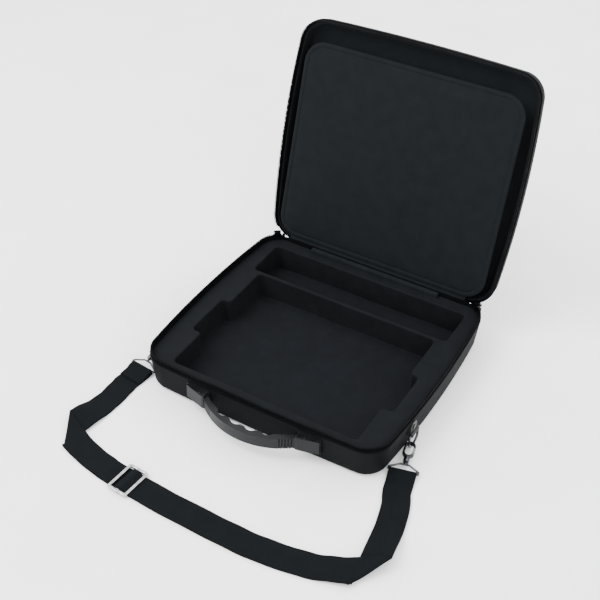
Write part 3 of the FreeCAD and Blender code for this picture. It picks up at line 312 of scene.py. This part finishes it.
def stitches(name, places, length, gap, thread, body, closed=False):
    """Row of thread stitches along a list of (point, surface normal)."""
    points = []
    faces = []
    travel = 0.0
    next_start = gap
    stitch_faces = grid_faces(len(STITCH_RINGS), STITCH_SIDES, True)
    following = places[1:] + places[:1] if closed else places[1:]
    for (here, normal), (there, _) in zip(places, following):
        step = (there - here).length
        while next_start < travel + step:
            middle = here + (there - here) * ((next_start - travel) / step)
            along = (there - here).normalized()
            side = normal.cross(along)
            faces += moved_faces(stitch_faces, len(points))
            for share, size, lift in STITCH_RINGS:
                for turn in range(STITCH_SIDES):
                    angle = turn * math.pi / (STITCH_SIDES / 2)
                    points.append(middle + along * (length * share)
                                  + normal * (thread * (lift + size * math.sin(angle)))
                                  + side * (thread * size * math.cos(angle)))
            next_start += length + gap
        travel += step
    row = link_mesh(name, points, faces, "thread")
    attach(row, body)
    return row


# ---------------------------------------------------------------- shoulder strap
WEBBING_WIDTH = 0.0394
WEBBING_THICK = 0.0014
LANES = 13                      # points across the webbing
SINGLE_LEVEL = 0.00075          # middle of one layer above the floor
DOUBLE_LEVEL = 0.0016           # middle of two layers above the floor
LAYER_OFFSET = DOUBLE_LEVEL - SINGLE_LEVEL
STRAP_ROUTE = [
    (-0.21560, -0.16550, 0.0050), (-0.21690, -0.17700, 0.0040), (-0.21812, -0.18873, 0.0025),
    (-0.21946, -0.20136, 0.0010), (-0.21750, -0.23500, 0.0008), (-0.21950, -0.27400, 0.0008),
    (-0.22800, -0.32500, 0.0020), (-0.19000, -0.33950, 0.0040), (-0.15000, -0.34850, 0.0010),
    (-0.11200, -0.35400, 0.0030), (-0.04100, -0.35950, 0.0016), (0.06000, -0.36100, 0.0016),
    (0.11500, -0.36050, 0.0016), (0.18300, -0.35000, 0.0030), (0.22200, -0.33800, 0.0060),
    (0.26000, -0.32400, 0.0080), (0.25000, -0.25400, 0.0016), (0.23800, -0.20400, 0.0016),
    (0.22750, -0.18303, 0.0020), (0.22459, -0.17066, 0.0030), (0.21900, -0.14800, 0.0050),
]
ROUTE_RESOLUTION = 24

# folds: number of the route's point at the corner, radius of the roll, and the height and
# spread of the lifted tip
LEFT_FOLD = 6
LEFT_FOLD_RADIUS = 0.0008
LEFT_TIP = (0.012, 0.024)
RIGHT_FOLD = 15
RIGHT_FOLD_RADIUS = 0.0026
RIGHT_TIP = (0.015, 0.026)
FOLD_FLAT_ROWS = 12
FOLD_ROLL_ROWS = 8
LAY_DOWN = 0.060                # length over which the run on top comes down to the floor

BUCKLE = Vector((-0.096, -0.355, 0))
BUCKLE_HALF_OPENING = 0.012
BUCKLE_BAR_TOP = 0.0068
LAYERS_MEET = 0.02              # length over which one layer becomes two

END_LAP = 0.030                 # webbing turned back at each end
EYE_SETBACK = 0.0030            # from the end of the route to the middle of the eye's bar
EYE_WRAP = 0.0024               # radius of the webbing's middle round the bar
LEFT_EYE_HEIGHT = 0.0053
RIGHT_EYE_HEIGHT = 0.0050
EDGE_WAVE = 0.0005              # lift of the webbing's wavy edges

# a fold's outer tip and corner, the direction away from its lower run, the radius of its roll
Fold = namedtuple("Fold", "tip corner away radius")


def spline_points(points, resolution):
    """Points along the smooth NURBS line whose control points are given."""
    curve = bpy.data.curves.new("strap_route", "CURVE")
    curve.dimensions = "3D"
    curve.resolution_u = resolution
    spline = curve.splines.new("NURBS")
    spline.points.add(len(points) - 1)
    for item, point in zip(spline.points, points):
        item.co = (*point, 1)
    spline.order_u = 3
    spline.use_endpoint_u = True
    route = bpy.data.objects.new("strap_route", curve)
    bpy.context.collection.objects.link(route)
    bpy.context.view_layer.update()
    mesh = bpy.data.meshes.new_from_object(route)
    line = [vertex.co.copy() for vertex in mesh.vertices]
    bpy.data.objects.remove(route)
    return line


def flat(vector):
    return Vector((vector[0], vector[1], 0))


def right_of(direction):
    return Vector((direction.y, -direction.x, 0))


def mirrored_about(direction, vector):
    return direction * (2 * vector.dot(direction)) - vector


def lanes():
    return [WEBBING_WIDTH * (lane / (LANES - 1) - 0.5) for lane in range(LANES)]


class Route:
    """The strap's line in plan, as closely spaced points."""

    def __init__(self, line):
        self.plan = [flat(point) for point in line]
        self.travel = [0.0]
        for before, after in zip(self.plan, self.plan[1:]):
            self.travel.append(self.travel[-1] + (after - before).length)

    def nearest(self, place):
        return min(range(len(self.plan)), key=lambda index: (self.plan[index] - place).length)

    def leg_middle(self, first):
        """Number of the point halfway between a control point and the next one."""
        return self.nearest((flat(STRAP_ROUTE[first]) + flat(STRAP_ROUTE[first + 1])) / 2)

    def heading(self, index):
        after = self.plan[min(len(self.plan) - 1, index + 1)]
        return (after - self.plan[max(0, index - 1)]).normalized()

    def first_beyond(self, distance):
        return next(index for index, travel in enumerate(self.travel) if travel > distance)

    def rows(self, first, last, sign, height_at):
        """Rows of webbing along a stretch; sign says which side its lanes start from."""
        rows = []
        for index in range(first, last + 1):
            side = right_of(self.heading(index)) * sign
            row = [self.plan[index] + side * lane for lane in lanes()]
            rows.append([place + Vector((0, 0, height_at(index, place))) for place in row])
        return rows


def extra_height(place, fold):
    """What the run on top adds over a fold's lower run, falling to nothing beyond it."""
    beyond = (place - fold.corner).dot(fold.away) - WEBBING_WIDTH / 2
    return 2 * fold.radius * (1 - smoothstep(beyond / LAY_DOWN))


def fold_rows(start, across, corner, target, level, radius):
    """Rows of webbing that run flat to a corner, fold over there and leave on top.

    start is the centre of the last row of the lower run, whose lanes lie along across, and
    target the centre of the first row of the upper run. Returns the rows between them, the
    direction of the lanes on the upper run and the fold."""
    lower = (corner - start).normalized()
    upper = (target - corner).normalized()
    crease = (lower + upper).normalized()
    outward = Vector((-crease.y, crease.x, 0))
    if outward.dot(lower) < 0:
        outward = -outward
    slope = outward.dot(lower)
    on_crease = corner - lower * (math.pi * radius / (2 * slope))
    half_crease = WEBBING_WIDTH / 2 / slope
    tip = max((on_crease + crease * half_crease, on_crease - crease * half_crease),
              key=lambda place: place.y)
    fold = Fold(tip, corner, (upper - lower * upper.dot(lower)).normalized(), radius)

    rows = []
    reach = [(on_crease - start - across * lane).dot(outward) / slope for lane in lanes()]
    for step in range(1, FOLD_FLAT_ROWS + 1):
        rows.append([start + across * lane + lower * (length * step / FOLD_FLAT_ROWS)
                     + Vector((0, 0, level)) for lane, length in zip(lanes(), reach)])
    crease_row = rows[-1]
    for step in range(1, FOLD_ROLL_ROWS + 1):
        angle = math.pi * step / FOLD_ROLL_ROWS
        along = lower * (radius * angle / slope)
        shift = along - outward * along.dot(outward) + outward * (radius * math.sin(angle))
        shift.z = radius * (1 - math.cos(angle))
        rows.append([point + shift for point in crease_row])
    leaving = rows[-1]
    across_upper = mirrored_about(crease, across)
    for step in range(1, FOLD_FLAT_ROWS):
        row = []
        for point, lane in zip(leaving, lanes()):
            landed = target + across_upper * lane
            place = flat(point).lerp(landed, step / FOLD_FLAT_ROWS)
            row.append(place + Vector((0, 0, level + extra_height(place, fold))))
        rows.append(row)
    return rows, across_upper, fold


def buckle_level(along):
    """Height of the strap near the buckle: over its middle bar, and from one layer to two."""
    level = SINGLE_LEVEL + LAYER_OFFSET * smoothstep(along / LAYERS_MEET + 0.5)
    if abs(along) < BUCKLE_HALF_OPENING:
        hump = math.cos(math.pi * along / (2 * BUCKLE_HALF_OPENING)) ** 2
        level += (BUCKLE_BAR_TOP - level) * hump
    return level


def lift_tip(rows, tip, height, spread):
    """Raise the webbing round the outer tip of a fold."""
    for row in rows:
        for point in row:
            far = (flat(point) - tip).length
            point.z += height * math.exp(-(far / spread) ** 2 / 2)


def wave_edges(rows):
    """Slight waves along both edges of the webbing."""
    for number, row in enumerate(rows):
        for lane, point in enumerate(row):
            edge = abs(2 * lane / (LANES - 1) - 1) ** 3
            point.z += EDGE_WAVE * edge * (1 + math.sin(number * 0.31 + lane))


def end_loop(bar, towards, side, bar_height):
    """Rows of webbing that turn round a swivel eye's bar."""
    under = SINGLE_LEVEL
    over = SINGLE_LEVEL + 2 * LAYER_OFFSET
    # distance from the bar and height, from the layer below round the bar to the one above
    profile = [(END_LAP, under), (0.022, under), (0.014, under + 0.0004),
               (0.007, bar_height - EYE_WRAP - 0.0012)]
    for step in range(9):
        angle = math.radians(-70 - 27.5 * step)
        profile.append((EYE_WRAP * math.cos(angle), bar_height + EYE_WRAP * math.sin(angle)))
    profile += [(0.007, bar_height + EYE_WRAP - 0.0005), (0.014, bar_height * 0.5 + over * 0.55),
                (0.022, over + 0.0006), (END_LAP - 0.001, over + 0.0003)]
    return [[bar + towards * along + side * lane + Vector((0, 0, height)) for lane in lanes()]
            for along, height in profile]


def ribbon_mesh(ribbon):
    """Points and faces of webbing of real thickness round its rows of middle points."""
    points = []
    for row, row_normal in zip(ribbon, row_normals(ribbon)):
        for lane in range(LANES):
            points.append(row[lane] + row_normal[lane] * (WEBBING_THICK / 2))
        for lane in reversed(range(LANES)):
            points.append(row[lane] - row_normal[lane] * (WEBBING_THICK / 2))
    ring = 2 * LANES
    faces = grid_faces(len(ribbon), ring, True)
    faces.append(tuple(range(ring)))
    faces.append(tuple(range((len(ribbon) - 1) * ring, len(ribbon) * ring)))
    return points, faces


def strap_rows(route):
    """Rows of webbing from the left end loop to the right one.

    Returns them with the number of the first doubled row and the side of the last ones."""
    plan = route.plan
    left_in = route.leg_middle(LEFT_FOLD - 1)
    left_out = route.leg_middle(LEFT_FOLD)
    right_in = route.leg_middle(RIGHT_FOLD - 1)
    right_out = route.leg_middle(RIGHT_FOLD)
    buckle_at = route.nearest(BUCKLE)
    buckle_way = route.heading(buckle_at)

    left_rows, left_across, left_fold = fold_rows(
        plan[left_in], right_of(route.heading(left_in)), flat(STRAP_ROUTE[LEFT_FOLD]),
        plan[left_out], SINGLE_LEVEL, LEFT_FOLD_RADIUS)
    upper_sign = 1 if left_across.dot(right_of(route.heading(left_out))) > 0 else -1

    # the right fold is built from its lower run, which is the later one
    corner = flat(STRAP_ROUTE[RIGHT_FOLD])
    arriving = (corner - plan[right_in]).normalized()
    leaving = (plan[right_out] - corner).normalized()
    right_across = mirrored_about((arriving + leaving).normalized(),
                                  right_of(arriving) * upper_sign)
    right_rows, _, right_fold = fold_rows(plan[right_out], right_across, corner, plan[right_in],
                                          DOUBLE_LEVEL, RIGHT_FOLD_RADIUS)
    lower_sign = 1 if right_across.dot(right_of(leaving)) > 0 else -1

    def height_at(index, place):
        """Middle of the webbing above the floor on the straight runs."""
        if index <= left_in:
            return SINGLE_LEVEL
        if index >= right_out:
            return DOUBLE_LEVEL
        return (buckle_level((plan[index] - BUCKLE).dot(buckle_way))
                + extra_height(place, left_fold if index < buckle_at else right_fold))

    rows = route.rows(route.first_beyond(END_LAP), left_in, 1, height_at) + left_rows
    first_doubled = len(rows) + buckle_at + 1 - left_out
    rows += route.rows(left_out, right_in, upper_sign, height_at)
    rows += reversed(right_rows)
    rows += route.rows(right_out, route.first_beyond(route.travel[-1] - END_LAP), lower_sign,
                       height_at)
    lift_tip(rows, left_fold.tip, *LEFT_TIP)
    lift_tip(rows, right_fold.tip, *RIGHT_TIP)
    wave_edges(rows)
    return rows, first_doubled, lower_sign


def make_strap():
    """One long webbing ribbon: left end loop, two folded corners, buckle, doubled right part."""
    line = spline_points(STRAP_ROUTE, ROUTE_RESOLUTION)
    route = Route(line)
    plan = route.plan
    rows, first_doubled, end_sign = strap_rows(route)

    normals = row_normals(rows)
    offset = -LAYER_OFFSET if normals[-1][0].z > 0 else LAYER_OFFSET
    first_layer = rows[:first_doubled]
    second_layer = []
    for row, row_normal in zip(rows[first_doubled:], normals[first_doubled:]):
        first_layer.append([p + n * offset for p, n in zip(row, row_normal)])
        second_layer.append([p - n * offset for p, n in zip(row, row_normal)])

    # the left loop's free end lies on top, and the strap starts from its lower layer
    left_bar = plan[0] - route.heading(0) * EYE_SETBACK
    left_way = (plan[route.first_beyond(END_LAP)] - left_bar).normalized()
    left_loop = end_loop(left_bar, left_way, right_of(left_way), LEFT_EYE_HEIGHT)
    left_loop = list(reversed(left_loop))[:-1]
    right_bar = plan[-1] + route.heading(len(plan) - 1) * EYE_SETBACK
    right_way = (plan[route.first_beyond(route.travel[-1] - END_LAP)] - right_bar).normalized()
    right_loop = end_loop(right_bar, right_way, right_of(-right_way) * end_sign,
                          RIGHT_EYE_HEIGHT)

    ribbon = left_loop + first_layer + right_loop + list(reversed(second_layer))
    strap = link_mesh("shoulder_strap", *ribbon_mesh(ribbon), "webbing")
    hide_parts("strap_webbing", "strap_loop_left", "strap_loop_right")
    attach(strap, "base")
    return strap, line, left_loop


def make_loop_seam(loop_rows):
    """Stitches across the webbing where the end of the strap is sewn back on itself."""
    up = Vector((0, 0, 1))
    places = [(end.lerp(near, 0.4) + up * (WEBBING_THICK / 2), up)
              for end, near in list(zip(loop_rows[0], loop_rows[1]))[1:-1]]
    row = stitches("strap_loop_seam", places, length=0.0022, gap=0.0009, thread=0.00035,
                   body="base")
    return row


strap, strap_line, left_loop_rows = make_strap()
loop_seam = make_loop_seam(left_loop_rows)
tuple(strap_line[0])
[tuple(point) for point in strap_line]


# ---------------------------------------------------------------- frames read from the CAD nodes
HINGE = {joint["name"]: joint for joint in frame["joints"]}


def turn_about(joint_name, degrees):
    """Matrix of a turn about one of the record's hinges."""
    joint = HINGE[joint_name]
    place = Vector(joint["pos_m"])
    turn = Matrix.Rotation(math.radians(degrees), 4, Vector(joint["axis"]))
    return Matrix.Translation(place) @ turn @ Matrix.Translation(-place)


LID_SHUT = turn_about("lid", HINGE["lid"]["range_deg"][0])


def plate_directions(name):
    """Right, up and front directions of a flat node."""
    front = max(nodes[name].data.polygons, key=lambda face: face.area).normal.copy()
    if front.y > 0:
        front = -front
    right = Vector((1, 0, 0))
    up = front.cross(right).normalized()
    return right, up if up.z > 0 else -up, front


def middle_and_half(name, ways):
    """Middle of a node and its half sizes along three square directions."""
    middle = Vector()
    halves = []
    for way in ways:
        reach = [vertex.co.dot(way) for vertex in nodes[name].data.vertices]
        middle += way * (min(reach) + max(reach)) / 2
        halves.append((max(reach) - min(reach)) / 2)
    return middle, halves


def rounded_outline(half_wide, half_tall, radius, count):
    """Evenly spaced points (x, y) round a rectangle with rounded corners."""
    centre_x, centre_y = half_wide - radius, half_tall - radius
    corners = [(centre_x, centre_y, 0), (-centre_x, centre_y, 90),
               (-centre_x, -centre_y, 180), (centre_x, -centre_y, 270)]
    sides = []
    for (x, y, start), (next_x, next_y, _) in zip(corners, corners[1:] + corners[:1]):
        sides.append(("arc", x, y, start, math.pi * radius / 2))
        sides.append(("line", x, y, start + 90, math.hypot(next_x - x, next_y - y)))
    total = sum(side[-1] for side in sides)
    points = []
    for index in range(count):
        travel = total * index / count
        for kind, x, y, start, length in sides:
            if travel <= length:
                break
            travel -= length
        turned = 90 * travel / length if kind == "arc" else 0
        ahead = travel if kind == "line" else 0
        angle = math.radians(start + turned)
        points.append((x + radius * math.cos(angle) - math.sin(angle) * ahead,
                       y + radius * math.sin(angle) + math.cos(angle) * ahead))
    return points


# ---------------------------------------------------------------- padded divider
DIVIDER_CORNER = 0.035
SHARPEST_CORNER = 0.004
SEAM_INSET = 0.0078
SEAM_HEIGHT = 0.0016            # of the thread's middle above the middle of the panel
SEAM_POINTS = 800
PANEL_POINTS = 420
PAD_RIPPLE = 0.00018            # height of the faint waves in the cloth
SEAM_PUCKER = 0.00012           # height of the small folds that the stitches pull in
PUCKERED = (0.005, 0.012)       # set-in at which the cloth puckers along the seam
# set-in from the edge and half thickness there, from the bound edge over the seam to the pad
PANEL_PROFILE = [
    (0.0, 0.0004), (0.0003, 0.0013), (0.0009, 0.0020), (0.0020, 0.0025), (0.0040, 0.0026),
    (0.0060, 0.0025), (0.0070, 0.0021), (SEAM_INSET, 0.0014), (0.0086, 0.0021), (0.0100, 0.0025),
    (0.0130, 0.0028), (0.0200, 0.0030), (0.0300, 0.0031), (0.0450, 0.0031), (0.0650, 0.0032),
    (0.0900, 0.0032), (0.1200, 0.0032), (0.1500, 0.0032),
]


def panel_points(centre, right, up, front, half_wide, half_tall):
    """Points of both faces of the padded panel, ring by ring from the edge inward."""
    points = []
    for side in (1, -1):
        for inset, thick in PANEL_PROFILE:
            corner = max(DIVIDER_CORNER - inset, SHARPEST_CORNER)
            outline = rounded_outline(half_wide - inset, half_tall - inset, corner, PANEL_POINTS)
            for index, (x, y) in enumerate(outline):
                height = thick
                if PUCKERED[0] < inset < PUCKERED[1]:
                    height += SEAM_PUCKER * math.sin(index * 1.9)
                if inset > PUCKERED[1]:
                    height += (PAD_RIPPLE * math.sin(x * 71 + 2 * side)
                               * math.sin(y * 53 + 1.3))
                points.append(centre + right * x + up * y + front * (side * height))
    return points


def panel_faces():
    """Faces over both sides of the panel and round its edge."""
    rings = len(PANEL_PROFILE)
    back = rings * PANEL_POINTS
    middle = (rings - 1) * PANEL_POINTS
    one_side = grid_faces(rings, PANEL_POINTS, True)
    one_side.append(tuple(range(middle, middle + PANEL_POINTS)))
    faces = one_side + moved_faces(one_side, back)
    for index in range(PANEL_POINTS):
        beside = (index + 1) % PANEL_POINTS
        faces.append((index, beside, back + beside, back + index))
    return faces


def make_divider():
    right, up, front = plate_directions("divider_board")
    centre, (half_wide, half_tall, _) = middle_and_half("divider_binding", (right, up, front))
    panel = link_mesh("divider_panel",
                      panel_points(centre, right, up, front, half_wide, half_tall),
                      panel_faces(), "divider")
    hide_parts("divider_front_sheet", "divider_back_sheet", "divider_binding")
    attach(panel, "divider")
    seam = rounded_outline(half_wide - SEAM_INSET, half_tall - SEAM_INSET,
                           DIVIDER_CORNER - SEAM_INSET, SEAM_POINTS)
    for side, label in ((1, "front"), (-1, "back")):
        places = [(centre + right * x + up * y + front * (side * SEAM_HEIGHT), front * side)
                  for x, y in seam]
        row = stitches("divider_stitches_" + label, places, length=0.0030, gap=0.0012,
                       thread=0.00034, body="divider", closed=True)


make_divider()


# ---------------------------------------------------------------- zip teeth
ZIP_PITCH = 0.0020
# side view of a tooth: place along the zip in pitches, height in shares of the band's height
TOOTH_OUTLINE = [(-0.34, 0.0), (-0.36, 0.55), (-0.2, 0.95), (0.2, 0.95), (0.36, 0.55), (0.34, 0.0)]
# cuts across a tooth: share of the band's width, and size of the outline there
TOOTH_CUTS = ((0.0, 0.8), (0.15, 1.0), (0.85, 1.0), (1.0, 0.8))
ZIP_RAYS = 1440
RAY_STEP = 0.0002               # from a wall that was hit to the start of the next ray
ZIP_BREAK = 0.02                # a longer step between walls is the gap at the hinge


def ring_walls(name, to_flat):
    """Inner and outer wall of a ring node in plan, sampled by rays from its middle."""
    mesh = nodes[name].data
    corners = [to_flat @ vertex.co for vertex in mesh.vertices]
    tree = BVHTree.FromPolygons(corners, [tuple(face.vertices) for face in mesh.polygons])
    low = min(corner.z for corner in corners)
    high = max(corner.z for corner in corners)
    middle = (low + high) / 2
    walls = []
    for step in range(ZIP_RAYS):
        angle = math.radians(step * 360 / ZIP_RAYS + 90)
        way = Vector((math.cos(angle), math.sin(angle), 0))
        inner = tree.ray_cast(Vector((0, 0, middle)), way)[0]
        if inner is None:
            continue
        outer = tree.ray_cast(inner + way * RAY_STEP, way)[0]
        if outer is not None:
            walls.append((inner, outer))
    return walls, low, high


def make_teeth(name, to_flat, body):
    """Separate teeth along one half of the zip, in place of its plain band."""
    from_flat = to_flat.inverted()
    walls, low, high = ring_walls(name, to_flat)
    points = []
    faces = []
    carry = 0.0
    size = len(TOOTH_OUTLINE)
    last_cut = (len(TOOTH_CUTS) - 1) * size
    tooth_faces = grid_faces(len(TOOTH_CUTS), size, True)
    tooth_faces += [tuple(range(size)), tuple(range(last_cut, last_cut + size))]
    for (inner, outer), (next_inner, _) in zip(walls, walls[1:]):
        step = (next_inner - inner).length
        if step > ZIP_BREAK:
            continue
        carry += step
        if carry < ZIP_PITCH:
            continue
        carry -= ZIP_PITCH
        across = (outer - inner).normalized()
        along = Vector((-across.y, across.x, 0))
        wide = (outer - inner).length
        faces += moved_faces(tooth_faces, len(points))
        for share, swell in TOOTH_CUTS:
            for shift, rise in TOOTH_OUTLINE:
                place = inner + across * (wide * share) + along * (ZIP_PITCH * shift * swell)
                place.z = low + (high - low) * rise * swell
                points.append(from_flat @ place)
    teeth = link_mesh(name + "_coil", points, faces, "teeth", smooth=False)
    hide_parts(name)
    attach(teeth, body)


make_teeth("base_zip_teeth", Matrix.Identity(4), "base")
make_teeth("lid_zip_teeth", LID_SHUT, "lid")


# ---------------------------------------------------------------- cloth hinges
STRIP_COLUMNS = 48
STRIP_WAVE = 0.00012
BEND_STEPS = 14
STRIP_REACH = 1.9               # from the hinge line, in distances to the flat strips' middles


def cloth_strip(name, profile, half_wide, thick, material):
    """Cloth strip that runs across the case with a curved profile in the YZ plane."""
    points = []
    for side in (1, -1):
        for number, place in enumerate(profile):
            before = profile[max(0, number - 1)]
            after = profile[min(len(profile) - 1, number + 1)]
            along = (after - before).normalized()
            normal = Vector((0, -along.z, along.y))
            for column in range(STRIP_COLUMNS + 1):
                x = half_wide * (2 * column / STRIP_COLUMNS - 1)
                wave = STRIP_WAVE * math.sin(x * 190 + number)
                points.append(place + normal * (side * thick / 2 + wave) + Vector((x, 0, 0)))
    rows = len(profile)
    wide = STRIP_COLUMNS + 1
    back = rows * wide
    faces = grid_faces(rows, wide, False)
    faces += [face[::-1] for face in moved_faces(faces, back)]
    rim = list(range(wide)) + [row * wide + wide - 1 for row in range(1, rows)]
    rim += [(rows - 1) * wide + column for column in reversed(range(wide - 1))]
    rim += [row * wide for row in reversed(range(1, rows - 1))]
    for here, there in zip(rim, rim[1:] + rim[:1]):
        faces.append((here, there, back + there, back + here))
    return link_mesh(name, points, faces, material)


def box_middle(name):
    low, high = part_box(name)
    return (Vector(low) + Vector(high)) / 2


def bend(start, knee, end, steps):
    """Points of a smooth bend from start to end that is drawn towards the knee."""
    return [start * (1 - part) ** 2 + knee * (2 * part * (1 - part)) + end * part ** 2
            for part in (step / steps for step in range(steps + 1))]


def make_hinge(name, lower, upper, joint_name, thick, material):
    """One cloth strip over a hinge line, in place of the two flat strips that stand for it."""
    knee = Vector(HINGE[joint_name]["pos_m"])
    start = knee + (box_middle(lower) - knee) * STRIP_REACH
    end = knee + (box_middle(upper) - knee) * STRIP_REACH
    start.x = end.x = 0
    low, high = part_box(lower)
    strip = cloth_strip(name, bend(start, knee, end, BEND_STEPS), (high[0] - low[0]) / 2, thick,
                        material)
    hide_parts(lower, upper)
    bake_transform(strip)


make_hinge("lid_hinge_cloth", "rear_hinge_fabric_lower", "rear_hinge_fabric_upper", "lid",
           thick=0.0007, material="tape")
make_hinge("divider_hinge_cloth", "divider_hinge_leaf", "divider_hinge_tape", "divider",
           thick=0.0008, material="lining")


# ---------------------------------------------------------------- floor, light and camera
FLOOR_SIZE = 14.0
FLOOR_GAP = 0.0002
WORLD_STRENGTH = 3.1
WORLD_GREYS = ((0.02, 0.5), (0.6, 1.0))     # height of the sky and its grey there
LIGHTS = (
    # name, position, target, diameter, power
    ("key", (-1.2, -1.0, 2.2), (0, 0, 0.1), 1.6, 80),
    ("fill", (1.8, -1.6, 1.2), (0, 0, 0.1), 1.8, 32),
    ("rim", (0.3, 1.9, 1.8), (0, 0.1, 0.2), 1.4, 30),
)
CAMERA_ANGLES = (29.85, 39.09, 1.17)        # azimuth, elevation and roll in degrees
CAMERA_TARGET = Vector((-0.097366, 0.109456, 0.0))
CAMERA_DISTANCE = 1.8277
CAMERA_LENS = 66.37


def stage():
    shader = Shader("floor_paper", (0.86, 0.86, 0.86), 0.9, specular=0.1)
    grain = shader.noise(6.0, 2.0)
    shader.vary_color(grain, (0.85, 0.85, 0.85), (0.88, 0.88, 0.88))
    bpy.ops.mesh.primitive_plane_add(size=FLOOR_SIZE,
                                     location=(0, 0, cad_box[0][2] - FLOOR_GAP))
    floor = bpy.context.object
    floor.name = "floor"
    floor.data.materials.append(shader.material)


def area_light(name, position, target, size, power):
    data = bpy.data.lights.new(name, "AREA")
    data.shape = "DISK"
    data.size = size
    data.energy = power
    lamp = bpy.data.objects.new(name, data)
    bpy.context.collection.objects.link(lamp)
    lamp.location = position
    lamp.rotation_euler = (Vector(target) - Vector(position)).to_track_quat("-Z", "Y").to_euler()


def lights():
    """Bright, even surroundings and three soft lamps."""
    world = bpy.data.worlds.new("studio")
    bpy.context.scene.world = world
    world.use_nodes = True
    tree = world.node_tree
    background = tree.nodes["Background"]
    background.inputs["Strength"].default_value = WORLD_STRENGTH
    # darker towards the horizon, so that metal shows its form
    place = tree.nodes.new("ShaderNodeTexCoord")
    split = tree.nodes.new("ShaderNodeSeparateXYZ")
    ramp = tree.nodes.new("ShaderNodeValToRGB")
    for stop, (height, grey) in zip(ramp.color_ramp.elements, WORLD_GREYS):
        stop.position = height
        stop.color = (grey, grey, grey, 1)
    tree.links.new(place.outputs["Generated"], split.inputs["Vector"])
    tree.links.new(split.outputs["Z"], ramp.inputs["Fac"])
    tree.links.new(ramp.outputs["Color"], background.inputs["Color"])
    for settings in LIGHTS:
        area_light(*settings)


def camera():
    """Camera at the photograph's viewing angle."""
    azimuth, elevation, roll = (math.radians(angle) for angle in CAMERA_ANGLES)
    back = Vector((math.sin(azimuth) * math.cos(elevation),
                   -math.cos(azimuth) * math.cos(elevation), math.sin(elevation)))
    right = Vector((0, 0, 1)).cross(back).normalized()
    up = back.cross(right)
    rolled_right = right * math.cos(roll) + up * math.sin(roll)
    rolled_up = up * math.cos(roll) - right * math.sin(roll)
    data = bpy.data.cameras.new("camera")
    data.sensor_width = 36.0
    data.lens = CAMERA_LENS
    item = bpy.data.objects.new("camera", data)
    bpy.context.collection.objects.link(item)
    turn = Matrix((rolled_right, rolled_up, back)).transposed().to_4x4()
    item.matrix_world = Matrix.Translation(CAMERA_TARGET + back * CAMERA_DISTANCE) @ turn
    bpy.context.scene.camera = item


stage()
lights()
camera()
